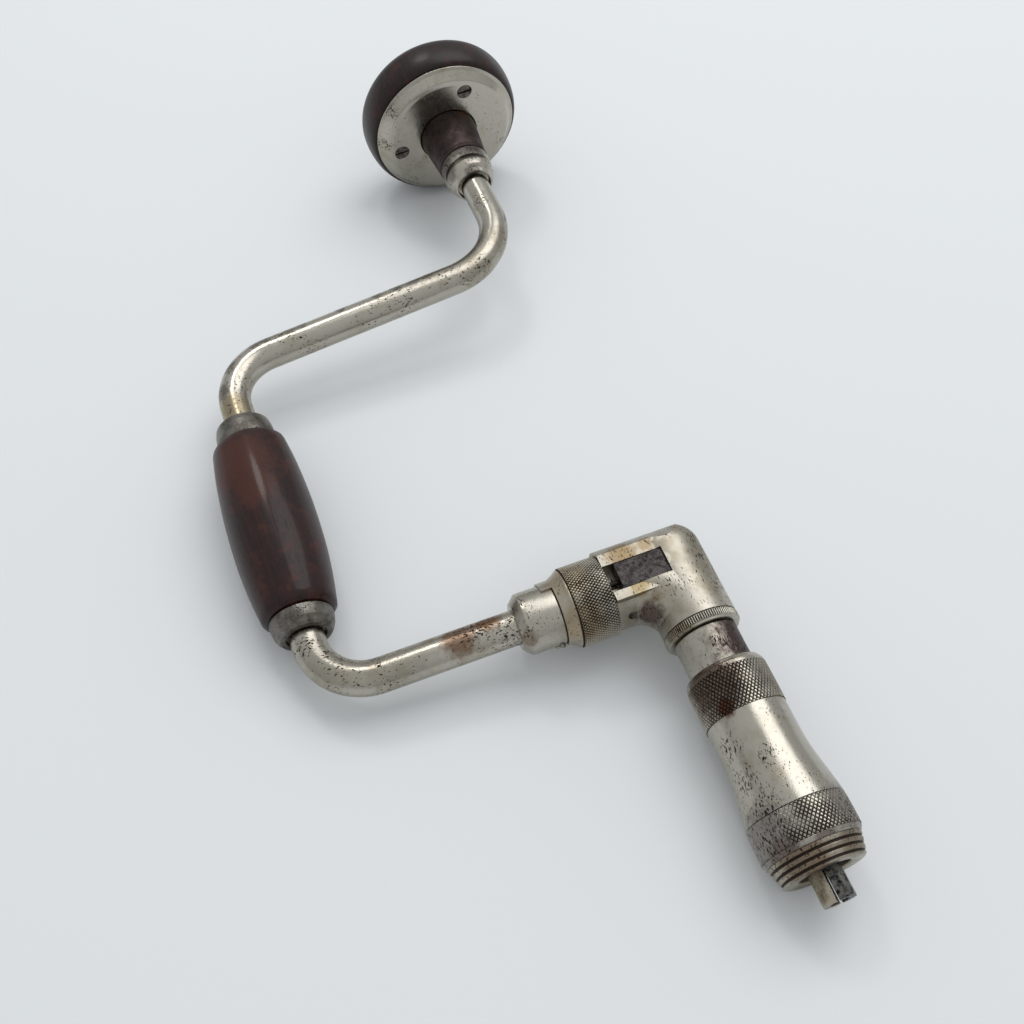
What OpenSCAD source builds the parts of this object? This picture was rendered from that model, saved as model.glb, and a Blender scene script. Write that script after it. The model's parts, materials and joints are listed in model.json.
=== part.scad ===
// Ratchet bit brace with an elbow ratchet, a ball bearing head and a two-jaw chuck.
// Modelled along its own axis: X from the crown of the head to the jaws, the handle on -Y.
// The last step lays the brace on the floor, where it rests on head, handle and chuck.

/* [Crank] */
// Distance from the brace's axis to the handle's axis, which is half the sweep
throw = 127; // [115:1:140]
// Diameter of the bent rod
rod_d = 12.4; // [12:0.1:12.8]
// From the crown to the corner of the bend below the head
upper_bend_at = 110.8; // [106:0.1:116]
// From the crown to the corner above the handle
crank_top_at = 125.2; // [122:0.1:128]
// Along the handle's axis, from corner to corner
crank_length = 147.5; // [146:0.5:152]
// Centreline radius of the bend below the head
upper_bend_r = 30.4; // [26:0.2:34]
// Centreline radius of the bend above the handle
crank_bend_r = 21.2; // [18:0.2:23]
// Centreline radius of the bend below the handle
lower_bend_r = 19.9; // [18:0.1:20.1]

/* [Head] */
// Largest diameter of the wooden knob
head_d = 71.6; // [68:0.2:76]
// Height of the knob from its crown to the edge of the plate
head_h = 24.6; // [22:0.2:28]
// Squareness of the dome's section, where 2 is an ellipse
dome_power = 2.68; // [2:0.02:3.2]
// Diameter over the edge of the metal plate
plate_d = 65.2; // [62:0.2:66]
// How far the plate's flat stands out from its edge
plate_rise = 4.6; // [3:0.1:6]
// Circle on which the three plate screws stand, as a radius
screw_circle_r = 22.8; // [20:0.1:24]
// Diameter of a plate screw's head
screw_head_d = 6.4; // [5:0.1:7]
// Length of the sleeve that stands out of the plate
sleeve_reach = 21.6; // [18:0.2:24]
// Sleeve diameter at the plate
sleeve_root_d = 26.2; // [24:0.2:27]
// Sleeve diameter at its open end
sleeve_end_d = 22.4; // [22:0.1:23]
// Number of balls in the head's bearing
ball_count = 14; // [8:1:15]
// Diameter of the head's bearing balls
ball_d = 2.9; // [2.4:0.1:3]

/* [Handle] */
// Length of the wooden grip
grip_length = 76.7; // [70:0.1:77]
// Largest diameter of the grip
grip_d = 33.1; // [30:0.1:35]
// How much the grip's radius drops towards the head end
grip_drop_top = 2.9; // [2:0.1:4]
// How much the grip's radius drops towards the chuck end
grip_drop_low = 3.5; // [2:0.1:4]
// Length of the end ring above the wood
ferrule_length = 10; // [8:0.1:10.2]
// Length of the end ring below the wood
low_ferrule_length = 7.5; // [6.5:0.1:10]
// Diameter of the end rings beside the wood
ferrule_d = 23; // [21:0.1:24]

/* [Ratchet] */
// Diameter of the plain boss on the arm
boss_d = 22; // [21.8:0.05:22.1]
// Length of the boss
boss_length = 15; // [12:0.1:18]
// Diameter over the selector ring's knurl
ring_d = 28.8; // [27:0.1:30]
// Width of the selector ring's knurled band
ring_band = 13.8; // [12:0.1:15]
// Full turn of the selector ring from one stop to the other, in degrees
ring_travel = 120; // [60:1:120]
// Diameter of the elbow's upright body
elbow_d = 26.8; // [26:0.1:28]
// Diameter of the elbow's back, above the arm
elbow_back_d = 31.2; // [30:0.1:32]
// Distance between the two milled flats
flats_across = 24.8; // [24:0.1:25.4]
// Width of the window that each pawl slides in
window_w = 10.2; // [9:0.1:11]
// Travel of each pawl
pawl_travel = 3; // [2:0.1:3.2]
// Number of teeth on the ratchet wheel
tooth_count = 12; // [10:1:16]

/* [Chuck] */
// Length of the turned part of the chuck, from its rim to its nose
chuck_length = 70.3; // [68:0.1:74]
// Diameter over the upper knurled band
shell_d = 28.2; // [27.8:0.1:30]
// Diameter at the waist below that band
waist_d = 27.8; // [27.4:0.1:29]
// Largest diameter, over the lower knurled band
swell_d = 33.8; // [32:0.1:35]
// Diameter of the flat nose
nose_d = 27.4; // [25:0.1:29]
// Diameter of the spindle's bare neck
neck_d = 22.4; // [22:0.1:22.6]
// Width across the two closed jaws
jaw_w = 10.4; // [10:0.1:10.8]
// How far the jaws stand out of the nose
jaw_reach = 9.2; // [7:0.1:11]
// Radius of the round groove that the jaws make
socket_r = 3.2; // [2.8:0.1:3.3]
// How far each jaw opens
jaw_travel = 2; // [1:0.1:2]
// How far the shell screws forward to open the jaws
shell_travel = 5; // [5:0.1:6]
// Turn of the chuck about its axis as it lies
chuck_turn = 20; // [-90:1:90]

/* [Hidden] */
// Smoothness of round shapes
$fn = 96;
// Air between pieces that only pass each other
clear = 0.3;
// Air in a fit that turns or slides
fit = 0.05;
// Overshoot of cutting tools
over = 1;
// Small edge break
edge = 0.5;

// The rod and its bends
rod_r = rod_d / 2;
lean = atan2(crank_top_at - upper_bend_at, throw);
turn = 90 - lean;
upper_tangent = upper_bend_r * tan(turn / 2);
crank_tangent = crank_bend_r * tan(turn / 2);
slant_length = throw / cos(lean);
bend_lap = 1;
bend_step = 0.03;
arm_at = crank_top_at + crank_length;

// The head
head_r = head_d / 2;
rim_at = head_h * 0.59;
plate_r = plate_d / 2;
plate_t = 1.2;
plate_shoulder_r = plate_r - 4;
plate_face_at = head_h + 0.2 + plate_rise;
plate_hole_r = sleeve_root_d / 2 - 1.4;
sleeve_top_at = head_h - 5.6;
sleeve_end_at = plate_face_at + sleeve_reach;
sleeve_bore_r = rod_r + fit;
race_out_r = 10.3;
ball_r = ball_d / 2;
ball_circle_r = race_out_r - ball_r - 0.1;
race_in_r = ball_circle_r - ball_r - 0.1;
race_depth = ball_d - 0.2;
nut_r = 8.5;
nut_length = 5.2;
nut_bore_r = 4.4;
nut_top_at = sleeve_top_at - clear - nut_length;
rod_top_at = nut_top_at - 0.6;
head_recess_r = nut_r + 1;
screw_head_r = screw_head_d / 2;
screw_shank_r = 1.6;
screw_length = 13;
screw_slot_w = 0.9;
screw_slot_depth = 1;
screw_rim = 0.2;
screw_cone_to = plate_face_at - 0.35;
first_screw_angle = 66.6;
screw_slot_turns = [25, -92, 50];
screw_count = len(screw_slot_turns);

// The collar under the head
collar_at = sleeve_end_at + 0.4;
collar_flange_r = 11.1;
collar_flange_length = 5;
collar_groove_r = 9.7;
collar_groove_length = 1;
collar_bead_r = 10.6;
collar_bead_length = 5.2;
collar_end_length = 2.4;
collar_end_r = rod_r + 2.2;
collar_length = collar_flange_length + collar_groove_length + collar_bead_length + collar_end_length;

// The handle
grip_r = grip_d / 2;
grip_middle_at = crank_top_at + crank_length / 2 + 4.7;
grip_from = grip_middle_at - grip_length / 2;
grip_to = grip_middle_at + grip_length / 2;
grip_power = 2.2;
grip_round = 3;
ferrule_r = ferrule_d / 2;
ferrule_mouth_r = rod_r + 1.4;
ferrule_recess = 1.5;

// Stations on the arm, counted from the brace's axis towards the handle
ring_end = -25.3;
ring_band_start = ring_end - ring_band;
ring_cone = 4;
ring_lip = 0.5;
ring_rear = ring_band_start - ring_cone - ring_lip;
hook_length = 4;
notch_bite = 0.15;
hook_end = ring_rear - hook_length;
boss_end = ring_rear - 0.2;
boss_start = boss_end - boss_length;
boss_r = boss_d / 2;
boss_chamfer = 2.8;
hook_out_r = boss_r + 0.75;
hook_in_r = boss_r + fit;
ring_r = ring_d / 2;
stem_r = 9.45;
ring_bore_r = stem_r + fit;
tenon_r = 3.4;
tenon_end = -16.5;
pin_angle = 103;
notch_from = -24;
pin_r = 0.95;
notch_to = pin_angle + 7;
pin_at = ring_rear - 2;

// The elbow
elbow_face = ring_end + 0.1;
elbow_r = elbow_d / 2;
elbow_back_r = elbow_back_d / 2;
elbow_arm_r = 13.3;
elbow_top_at = arm_at - elbow_back_r;
elbow_end_at = arm_at + 22.9;
elbow_corner = 9;
elbow_fillet = 7;
flat_z = flats_across / 2;
pad_below = 8.9;
pad_round = 1.2;
window_shift = 0.3;
window_floor = 5.6;
window_end = -3.4;
wheel_r = 9.8;
wheel_root_r = 8.3;
wheel_bore_r = 7;
wheel_half = 6.6;
chamber_r = wheel_r + 1.1;
chamber_top_at = arm_at - 9.5;
pivot_r = 5;
pivot_top_at = arm_at - 12.6;
pawl_w = window_w - 0.4;
pawl_tip = window_end - 0.2;
pawl_length = 17.5;
pawl_top_z = flat_z - 0.2;
pawl_floor = window_floor + 0.3;
tail_r = 0.9;
tail_length = 5;
tail_z = 6.9;
spring_bore_r = 2;
spring_bore_end = -40;
spring_mid_r = 1.5;
spring_wire = 0.5;
spring_turns = 7;
coil_steps = 14;
wire_sides = 6;
rivet_r = 1.2;
rivet_angle = 70;
rivet_at = -20.7;
rivet_in = 1.8;

// The bearing cap at the elbow's mouth
cap_flange_from = elbow_end_at + 0.2;
cap_flange_length = 3.6;
cap_flange_r = 13.5;
cap_length = 11;
journal_r = 8.95;
cap_bore_r = journal_r + fit;
cap_teeth = 72;
cap_tooth_depth = 0.35;

// The spindle
neck_r = neck_d / 2;
neck_from = cap_flange_from + cap_flange_length + 0.4;
shell_from = neck_from + 13.6;
thread_r = 10.4;
thread_from = shell_from + 3;
spindle_end = shell_from + 31.5;
tang_r = 6.6;
tang_from = shell_from + 13;
slot_half = 4.2;
slot_from = shell_from + 21;

// The shell and the nose ring
shell_to = shell_from + 63.3;
nose_at = shell_from + chuck_length;
shell_r = shell_d / 2;
waist_r = waist_d / 2;
swell_r = swell_d / 2;
nose_r = nose_d / 2;
rim_bore_r = neck_r + 0.35;
rim_length = 4.2;
shell_thread_r = thread_r + fit;
shell_thread_to = shell_from + 22;
cavity_r = 12;
upper_knurl_from = shell_from + 3;
upper_knurl_to = shell_from + 17;
flare_from = shell_from + 28.5;
flare_to = shell_from + 55.5;
swell_to = shell_from + 60;
nose_sleeve_r = cavity_r - fit;
nose_sleeve_from = shell_from + 42.5;
nose_bore_r = 8.5;
cone_slope = jaw_travel / shell_travel;
cone_end_at = shell_from + 48.5;
nose_shoulder_r = swell_r - 0.9;
groove_depth = 0.45;
groove_w = 0.7;
groove_gap = 2.1;
groove_count = 3;

// The jaws
jaw_tip_at = nose_at + jaw_reach;
jaw_gap = 0.8;
jaw_corner_r = jaw_w * 0.6;
jaw_neck_r = nose_bore_r - clear;
jaw_cone_rise = 1.4;
jaw_big_r = jaw_neck_r + jaw_cone_rise;
jaw_cone_at = cone_end_at - jaw_cone_rise / cone_slope;
jaw_neck_fade = 4;
jaw_body_from = spindle_end + 0.3;
jaw_tail_from = slot_from + 1;
jaw_tail_r = 8;
jaw_tail_half = slot_half - 0.2;
vee_to = nose_at - 11;
vee_side = 6.6;
jaw_leaf_t = 0.4;
jaw_leaf_half = 2;
jaw_leaf_from = tang_from + 1;

// How the brace lies on the floor: it touches at the head's rim, the grip and the chuck's swell
touch_taper = (head_r - swell_r) / (rim_at - swell_to);
touch_share = 1 / sqrt(1 + touch_taper * touch_taper);
touch_slope = touch_taper * touch_share;
grip_bow = grip_length * grip_length / (8 * (grip_drop_top + grip_drop_low) / 2);
grip_reach = grip_r * touch_share + grip_bow * (1 - touch_share);
touch_tilt = (head_r * touch_share - grip_reach - touch_slope * (rim_at - grip_middle_at)) / throw;
touch_up = sqrt(1 - touch_slope * touch_slope - touch_tilt * touch_tilt);
lay_roll = atan2(touch_tilt, touch_up);
lay_pitch = -atan2(touch_slope, sqrt(touch_tilt * touch_tilt + touch_up * touch_up));
lay_settle = 0.04;
lay_lift = head_r * touch_share - touch_slope * rim_at + lay_settle;
middle_x = 196.15;
middle_y = -53.72;

steel = [0.62, 0.6, 0.56];
dark_steel = [0.27, 0.25, 0.24];
grey_metal = [0.45, 0.44, 0.43];
dark_wood = [0.19, 0.06, 0.04];
bronzed = [0.45, 0.4, 0.33];

// Lays a piece of the upright drawing down on the floor
module laid() {
  translate([-middle_x, -middle_y, lay_lift])
    rotate([lay_roll, lay_pitch, 0])
      children();
}

// Spins a section, drawn as radius and station, about the brace's axis
module on_axis() {
  rotate([0, 90, 0])
    rotate_extrude()
      children();
}

// The same about the handle's axis
module on_handle() {
  translate([0, -throw, 0])
    on_axis()
      children();
}

// The same about the arm's axis, with stations counted along Y
module on_arm() {
  translate([arm_at, 0, 0])
    rotate([-90, 0, 0])
      rotate_extrude()
        children();
}

// A plain rod along the brace's axis
module rod_x(r, from, to) {
  translate([from, 0, 0])
    rotate([0, 90, 0])
      cylinder(r = r, h = to - from);
}

// A plain rod along the arm's direction
module rod_y(r, from, to) {
  translate([0, from, 0])
    rotate([-90, 0, 0])
      cylinder(r = r, h = to - from);
}

// One bend of the rod about a centre, from one heading angle through another
module rod_bend(centre, bend_r, from, through) {
  $fn = 48;
  translate([centre[0], centre[1], 0])
    rotate([0, 0, from - bend_lap])
      rotate_extrude(angle = through + 2 * bend_lap)
        translate([bend_r, 0])
          circle(r = rod_r - bend_step);
}

// Section of the wooden knob
dome_steps = 18;
function dome(i) = let(a = 90 * i / dome_steps)
  [head_r * pow(sin(a), 2 / dome_power), rim_at - rim_at * pow(cos(a), 2 / dome_power)];
function under(i) = let(a = 90 * i / dome_steps)
  [plate_r + 0.1 + (head_r - plate_r - 0.1) * cos(a), rim_at + (head_h - rim_at) * sin(a)];

module head_knob() {
  color(dark_wood)
    laid()
      difference() {
        on_axis()
          polygon(concat(
            [for (i = [0 : dome_steps]) dome(i)],
            [for (i = [1 : dome_steps]) under(i)],
            [[plate_r, head_h],
             [plate_shoulder_r - plate_t, plate_face_at - plate_t],
             [sleeve_root_d / 2 - 1, plate_face_at - plate_t],
             [sleeve_root_d / 2 - 1, sleeve_top_at],
             [head_recess_r, sleeve_top_at],
             [head_recess_r, rod_top_at - 1],
             [0, rod_top_at - 1]]));
        plate_screw_holes();
      }
}

// Where a screw goes, turned about the brace's axis
module at_screw(i) {
  rotate([first_screw_angle + 360 * i / screw_count, 0, 0])
    translate([0, screw_circle_r, 0])
      children();
}

// The countersunk holes in the plate and in the wood under it
module plate_screw_holes() {
  for (i = [0 : screw_count - 1])
    at_screw(i) {
      rod_x(screw_shank_r, plate_face_at - screw_length, plate_face_at + over);
      screw_head_shape(over);
    }
}

module head_plate() {
  color(steel)
    laid()
      difference() {
        on_axis()
          polygon([[plate_r, head_h + 0.02],
            [plate_r, head_h + 0.9],
            [plate_r - 1, head_h + 2.5],
            [plate_shoulder_r + 0.9, plate_face_at - 0.6],
            [plate_shoulder_r - 0.4, plate_face_at],
            [plate_shoulder_r - 2, plate_face_at - 0.3],
            [plate_hole_r, plate_face_at],
            [plate_hole_r, plate_face_at - plate_t + 0.02],
            [plate_shoulder_r - plate_t, plate_face_at - plate_t + 0.02]]);
        plate_screw_holes();
      }
}

// The countersunk head, with a short round rim above its cone
module screw_head_shape(rim) {
  rotate([0, 90, 0])
    translate([0, 0, screw_cone_to - screw_head_r + screw_shank_r])
      cylinder(r1 = screw_shank_r, r2 = screw_head_r, h = screw_head_r - screw_shank_r);
  rod_x(screw_head_r, screw_cone_to, screw_cone_to + rim);
}

module head_plate_screws() {
  color(grey_metal)
    laid()
      for (i = [0 : screw_count - 1])
        at_screw(i)
          difference() {
            union() {
              rod_x(screw_shank_r, plate_face_at - screw_length, screw_cone_to);
              screw_head_shape(screw_rim);
            }
            rotate([screw_slot_turns[i], 0, 0])
              translate([screw_cone_to + screw_rim - screw_slot_depth, -screw_slot_w / 2, -screw_head_r])
                cube([screw_slot_depth + over, screw_slot_w, screw_head_d]);
          }
}

module quill_sleeve() {
  color(dark_steel)
    laid()
      on_axis()
        polygon([[sleeve_bore_r, sleeve_top_at],
          [sleeve_root_d / 2 - 1, sleeve_top_at],
          [sleeve_root_d / 2 - 1, plate_face_at - plate_t],
          [plate_hole_r, plate_face_at - plate_t],
          [plate_hole_r, plate_face_at + 0.02],
          [sleeve_root_d / 2, plate_face_at + 0.02],
          [sleeve_end_d / 2 + 0.3, sleeve_end_at - 4],
          [sleeve_end_d / 2, sleeve_end_at - edge],
          [sleeve_end_d / 2 - edge, sleeve_end_at],
          [race_out_r, sleeve_end_at],
          [race_out_r, sleeve_end_at - race_depth],
          [race_in_r, sleeve_end_at - race_depth],
          [race_in_r, sleeve_end_at],
          [sleeve_bore_r, sleeve_end_at]]);
}

module head_bearing_balls() {
  color(steel)
    laid()
      for (i = [0 : ball_count - 1])
        rotate([360 * i / ball_count, 0, 0])
          translate([sleeve_end_at - race_depth + ball_r + 0.05, ball_circle_r, 0])
            sphere(r = ball_r);
}

module head_nut() {
  color(dark_steel)
    laid()
      difference() {
        translate([nut_top_at, 0, 0])
          rotate([0, 90, 0])
            cylinder(r = nut_r, h = nut_length, $fn = 6);
        rod_x(nut_bore_r, nut_top_at - over, nut_top_at + nut_length + over);
      }
}

module quill_collar() {
  groove_at = collar_at + collar_flange_length;
  bead_at = groove_at + collar_groove_length;
  bead_end = bead_at + collar_bead_length;
  color(steel)
    laid()
      on_axis()
        polygon([[rod_r, collar_at],
          [collar_flange_r - edge, collar_at],
          [collar_flange_r, collar_at + edge],
          [collar_flange_r, groove_at - edge],
          [collar_flange_r - edge, groove_at],
          [collar_groove_r, groove_at],
          [collar_groove_r, bead_at],
          [collar_bead_r - edge, bead_at],
          [collar_bead_r, bead_at + 0.9],
          [collar_bead_r, bead_at + 2.2],
          [collar_bead_r - 0.5, bead_end - 1.4],
          [collar_bead_r - 1.4, bead_end],
          [collar_end_r, bead_end + collar_end_length],
          [collar_end_r - 0.8, bead_end + collar_end_length],
          [collar_end_r - 0.8, bead_end],
          [rod_r, bead_end]]);
}

module frame() {
  color(steel)
    laid()
      difference() {
        union() {
          rod_x(nut_bore_r, rod_top_at, sleeve_top_at - clear + over);
          rod_x(rod_r, sleeve_top_at - clear, upper_bend_at - upper_tangent);
          rod_bend([upper_bend_at - upper_tangent, -upper_bend_r], upper_bend_r, lean, turn);
          translate([upper_bend_at, 0, 0])
            rotate([0, 0, lean])
              rod_y(rod_r, crank_tangent - slant_length, -upper_tangent);
          rod_bend([crank_top_at + crank_tangent, crank_bend_r - throw], crank_bend_r,
            180 + lean, turn);
          translate([0, -throw, 0])
            rod_x(rod_r, crank_top_at + crank_tangent, arm_at - lower_bend_r);
          rod_bend([arm_at - lower_bend_r, lower_bend_r - throw], lower_bend_r, 270, 90);
          translate([arm_at, 0, 0])
            rod_y(rod_r, lower_bend_r - throw, boss_end);
          translate([arm_at, 0, 0])
            rod_y(tenon_r, boss_end - over, tenon_end);
        }
        rivet_shape(0);
      }
}

module upper_ferrule() {
  from = grip_from - clear - ferrule_length;
  color(grey_metal)
    laid()
      on_handle()
        polygon([[rod_r, from],
          [ferrule_mouth_r, from],
          [ferrule_r - 2.4, from],
          [ferrule_r - 1.5, from + 0.4],
          [ferrule_r - 1.1, from + 1.3],
          [ferrule_r - 0.7, from + 3],
          [ferrule_r - 0.45, from + 5],
          [ferrule_r - 0.3, from + ferrule_length - 2.5],
          [ferrule_r - 0.3, from + ferrule_length - edge],
          [ferrule_r - 0.3 - edge, from + ferrule_length],
          [rod_r, from + ferrule_length]]);
}

// The grip's radius at a station, from -1 at the head end to 1 at the chuck end
grip_steps = 20;
function grip_radius(u) = grip_r
  - (u < 0 ? grip_drop_top : grip_drop_low) * pow(abs(u), grip_power);
function grip_point(i) = let(
    u = -1 + 2 * i / grip_steps,
    inner = 1 - grip_round / (grip_length / 2))
  [grip_radius(u * inner), grip_middle_at + u * inner * grip_length / 2];
round_steps = 5;
function grip_end(side, i) = let(
    inner = 1 - grip_round / (grip_length / 2),
    a = 90 * i / round_steps)
  [grip_radius(side * inner) - grip_round * (1 - cos(a)) * 0.9,
   grip_middle_at + side * (inner * grip_length / 2 + grip_round * sin(a))];

module handle_grip() {
  color(dark_wood)
    laid()
      on_handle()
        polygon(concat(
          [[rod_r + clear, grip_from]],
          [for (i = [round_steps : -1 : 1]) grip_end(-1, i)],
          [for (i = [0 : grip_steps]) grip_point(i)],
          [for (i = [1 : round_steps]) grip_end(1, i)],
          [[rod_r + clear, grip_to]]));
}

module lower_ferrule() {
  from = grip_to + clear;
  color(grey_metal)
    laid()
      on_handle()
        polygon([[rod_r, from],
          [ferrule_r - edge, from],
          [ferrule_r, from + edge],
          [ferrule_r - 0.1, from + 2.2],
          [ferrule_r - 0.45, from + 4.2],
          [ferrule_r - 1.2, from + 5.9],
          [ferrule_r - 2, from + low_ferrule_length - 0.4],
          [ferrule_r - 2.5, from + low_ferrule_length],
          [rod_r + 1, from + low_ferrule_length],
          [rod_r + 1, from + low_ferrule_length - ferrule_recess],
          [rod_r, from + low_ferrule_length - ferrule_recess]]);
}

module arm_boss() {
  color(steel)
    laid()
      difference() {
        on_arm()
          polygon([[rod_r, boss_start],
            [boss_r - boss_chamfer, boss_start],
            [boss_r - boss_chamfer + 0.5, boss_start + 0.3],
            [boss_r - 0.4, boss_start + boss_chamfer - 0.4],
            [boss_r, boss_start + boss_chamfer + 0.4],
            [boss_r, boss_end],
            [rod_r, boss_end]]);
        stop_pin_shape(0);
      }
}

// A wedge about the arm's axis, from one angle to another, both counted from the viewer's side
module arm_wedge(angle_from, angle_to, from, to) {
  wedge_r = ring_r + 6;
  translate([arm_at, 0, 0])
    rotate([-90, 0, 0])
      translate([0, 0, from])
        rotate([0, 0, angle_from - 90])
          rotate_extrude(angle = angle_to - angle_from)
            square([wedge_r, to - from]);
}

module selector_ring() {
  color(bronzed)
    laid()
      difference() {
        on_arm()
          polygon([[ring_bore_r, ring_end],
            [ring_r - edge, ring_end],
            [ring_r, ring_end - edge],
            [ring_r, ring_band_start],
            [ring_r - 0.5, ring_band_start],
            [ring_r - 0.5, ring_band_start - 0.6],
            [ring_r - 1.2, ring_band_start - 1.4],
            [hook_out_r + 0.7, ring_band_start - 3],
            [hook_out_r, ring_rear + ring_lip - 0.6],
            [hook_out_r, hook_end + 0.2],
            [hook_out_r - 0.2, hook_end],
            [hook_in_r, hook_end],
            [hook_in_r, ring_rear],
            [ring_bore_r, ring_rear]]);
        arm_wedge(notch_from, notch_to, hook_end - over, ring_rear + notch_bite);
      }
}

// The stop pin stands out of the boss and ends in a round head
module stop_pin_shape(head) {
  translate([arm_at, pin_at, 0])
    rotate([0, pin_angle, 0]) {
      cylinder(r = pin_r, h = boss_r + 0.4);
      if (head > 0)
        translate([0, 0, boss_r + 0.4])
          sphere(r = pin_r);
    }
}

module stop_pin() {
  color(grey_metal)
    laid()
      difference() {
        stop_pin_shape(1);
        translate([arm_at, 0, 0])
          rod_y(rod_r, hook_end - over, ring_rear + over);
      }
}

// The rivet that holds the rod's end in the elbow
module rivet_shape(grow) {
  translate([arm_at, rivet_at, 0])
    rotate([0, rivet_angle, 0])
      translate([0, 0, rivet_in])
        cylinder(r = rivet_r, h = elbow_arm_r + grow - rivet_in);
}

module housing_rivet() {
  color(grey_metal)
    laid()
      rivet_shape(0.15);
}

// The bore for one pawl's tail and spring, on the side given by 1 or -1
module spring_bore(side) {
  translate([arm_at, 0, side * tail_z])
    rod_y(spring_bore_r, spring_bore_end, pawl_tip - pawl_length + 0.1);
}

// The window in one flat, on the side given by 1 or -1
module window(side) {
  low = side > 0 ? window_floor : -flat_z - over;
  translate([arm_at - window_w / 2 + window_shift, elbow_face - fit, low])
    cube([window_w, window_end - elbow_face + fit, flat_z + over - window_floor]);
}

module ratchet_housing() {
  color(steel)
    laid()
      difference() {
        union() {
          // Upright body with a rounded outer corner
          intersection() {
            on_axis()
              difference() {
                square_from(elbow_r, elbow_top_at, elbow_end_at);
                elbow_corner_cut();
              }
            union() {
              translate([arm_at, 0, 0])
                rod_y(elbow_back_r, -elbow_r - over, elbow_r + over);
              translate([arm_at, -elbow_r - over, -elbow_r - over])
                cube([elbow_end_at - arm_at + over, elbow_d + 2 * over, elbow_d + 2 * over]);
            }
          }
          // Round body along the arm
          translate([arm_at, 0, 0])
            rod_y(elbow_arm_r, elbow_face, 0);
          // Back with the two milled flats
          intersection() {
            translate([arm_at, 0, 0])
              rod_y(elbow_back_r, elbow_face, 0);
            translate([arm_at - elbow_back_r - over, elbow_face - over, -flat_z])
              cube([elbow_back_r + over + pad_below, over - elbow_face, flats_across]);
          }
          // Inside of the bend
          translate([arm_at + elbow_arm_r + elbow_fillet, -elbow_arm_r - elbow_fillet, 0])
            rotate([0, 0, 90])
              rotate_extrude(angle = 90)
                translate([elbow_arm_r + elbow_fillet, 0])
                  circle(r = elbow_arm_r - 0.1);
          // Stem that the selector ring turns on
          translate([arm_at, 0, 0])
            rod_y(stem_r, ring_rear, elbow_face);
        }
        // Chamber for the wheel, open at the mouth for the bearing cap
        rod_x(chamber_r, chamber_top_at, elbow_end_at + over);
        rod_x(pivot_r + fit, pivot_top_at, chamber_top_at + over);
        translate([arm_at, 0, 0])
          rod_y(tenon_r, ring_rear - over, 0);
        window(1);
        window(-1);
        spring_bore(1);
        spring_bore(-1);
        rivet_shape(over);
      }
}

// A plain section from the axis out to a radius
module square_from(r, from, to) {
  translate([0, from])
    square([r, to - from]);
}

// What the outer corner's rounding takes off the section
module elbow_corner_cut() {
  difference() {
    translate([elbow_r - elbow_corner, elbow_top_at - over])
      square([elbow_corner + over, elbow_corner + over]);
    translate([elbow_r - elbow_corner, elbow_top_at + elbow_corner])
      circle(r = elbow_corner);
  }
}

// One pawl at a given tip station, on the side given by 1 or -1
module pawl(side, tip) {
  low = side > 0 ? pawl_floor : -pawl_top_z;
  difference() {
    union() {
      translate([arm_at - pawl_w / 2 + window_shift, tip - pawl_length, low])
        cube([pawl_w, pawl_length, pawl_top_z - pawl_floor]);
      translate([arm_at, 0, side * tail_z])
        rod_y(tail_r, tip - pawl_length - tail_length, tip - pawl_length);
    }
    rod_x(wheel_r + 0.4, arm_at - window_w, arm_at + window_w);
  }
}

module pawl_front() {
  color(dark_steel)
    laid()
      pawl(1, pawl_tip);
}

module pawl_rear() {
  color(dark_steel)
    laid()
      difference() {
        pawl(-1, pawl_tip - pawl_travel);
        translate([0, -pawl_travel, 0])
          rod_x(wheel_r + 0.4, arm_at - window_w, arm_at + window_w);
      }
}

// A corner of the coiled wire's surface, at a step along the coil and a step round the wire
function coil_point(i, j, from, to) = let(
    along = 360 * i / coil_steps,
    round = 360 * j / wire_sides,
    r = spring_mid_r + spring_wire / 2 * cos(round))
  [r * cos(along),
   from + (to - from) * i / (coil_steps * spring_turns) + spring_wire / 2 * sin(round),
   r * sin(along)];

// A coil spring between two stations on the arm, round a pawl's tail
module pawl_spring(side, from, to) {
  steps = coil_steps * spring_turns;
  n = wire_sides;
  translate([arm_at, 0, side * tail_z])
    polyhedron(
      points = [for (i = [0 : steps]) for (j = [0 : n - 1])
        coil_point(i, j, from + spring_wire / 2, to - spring_wire / 2)],
      faces = concat(
        [[for (j = [0 : n - 1]) j]],
        [[for (j = [n - 1 : -1 : 0]) steps * n + j]],
        [for (i = [0 : steps - 1]) for (j = [0 : n - 1])
          [i * n + j, (i + 1) * n + j, i * n + (j + 1) % n]],
        [for (i = [0 : steps - 1]) for (j = [0 : n - 1])
          [(i + 1) * n + j, (i + 1) * n + (j + 1) % n, i * n + (j + 1) % n]]));
}

module pawl_spring_front() {
  color(grey_metal)
    laid()
      pawl_spring(1, spring_bore_end, pawl_tip - pawl_length);
}

module pawl_spring_rear() {
  color(grey_metal)
    laid()
      pawl_spring(-1, spring_bore_end, pawl_tip - pawl_length - pawl_travel);
}

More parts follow.
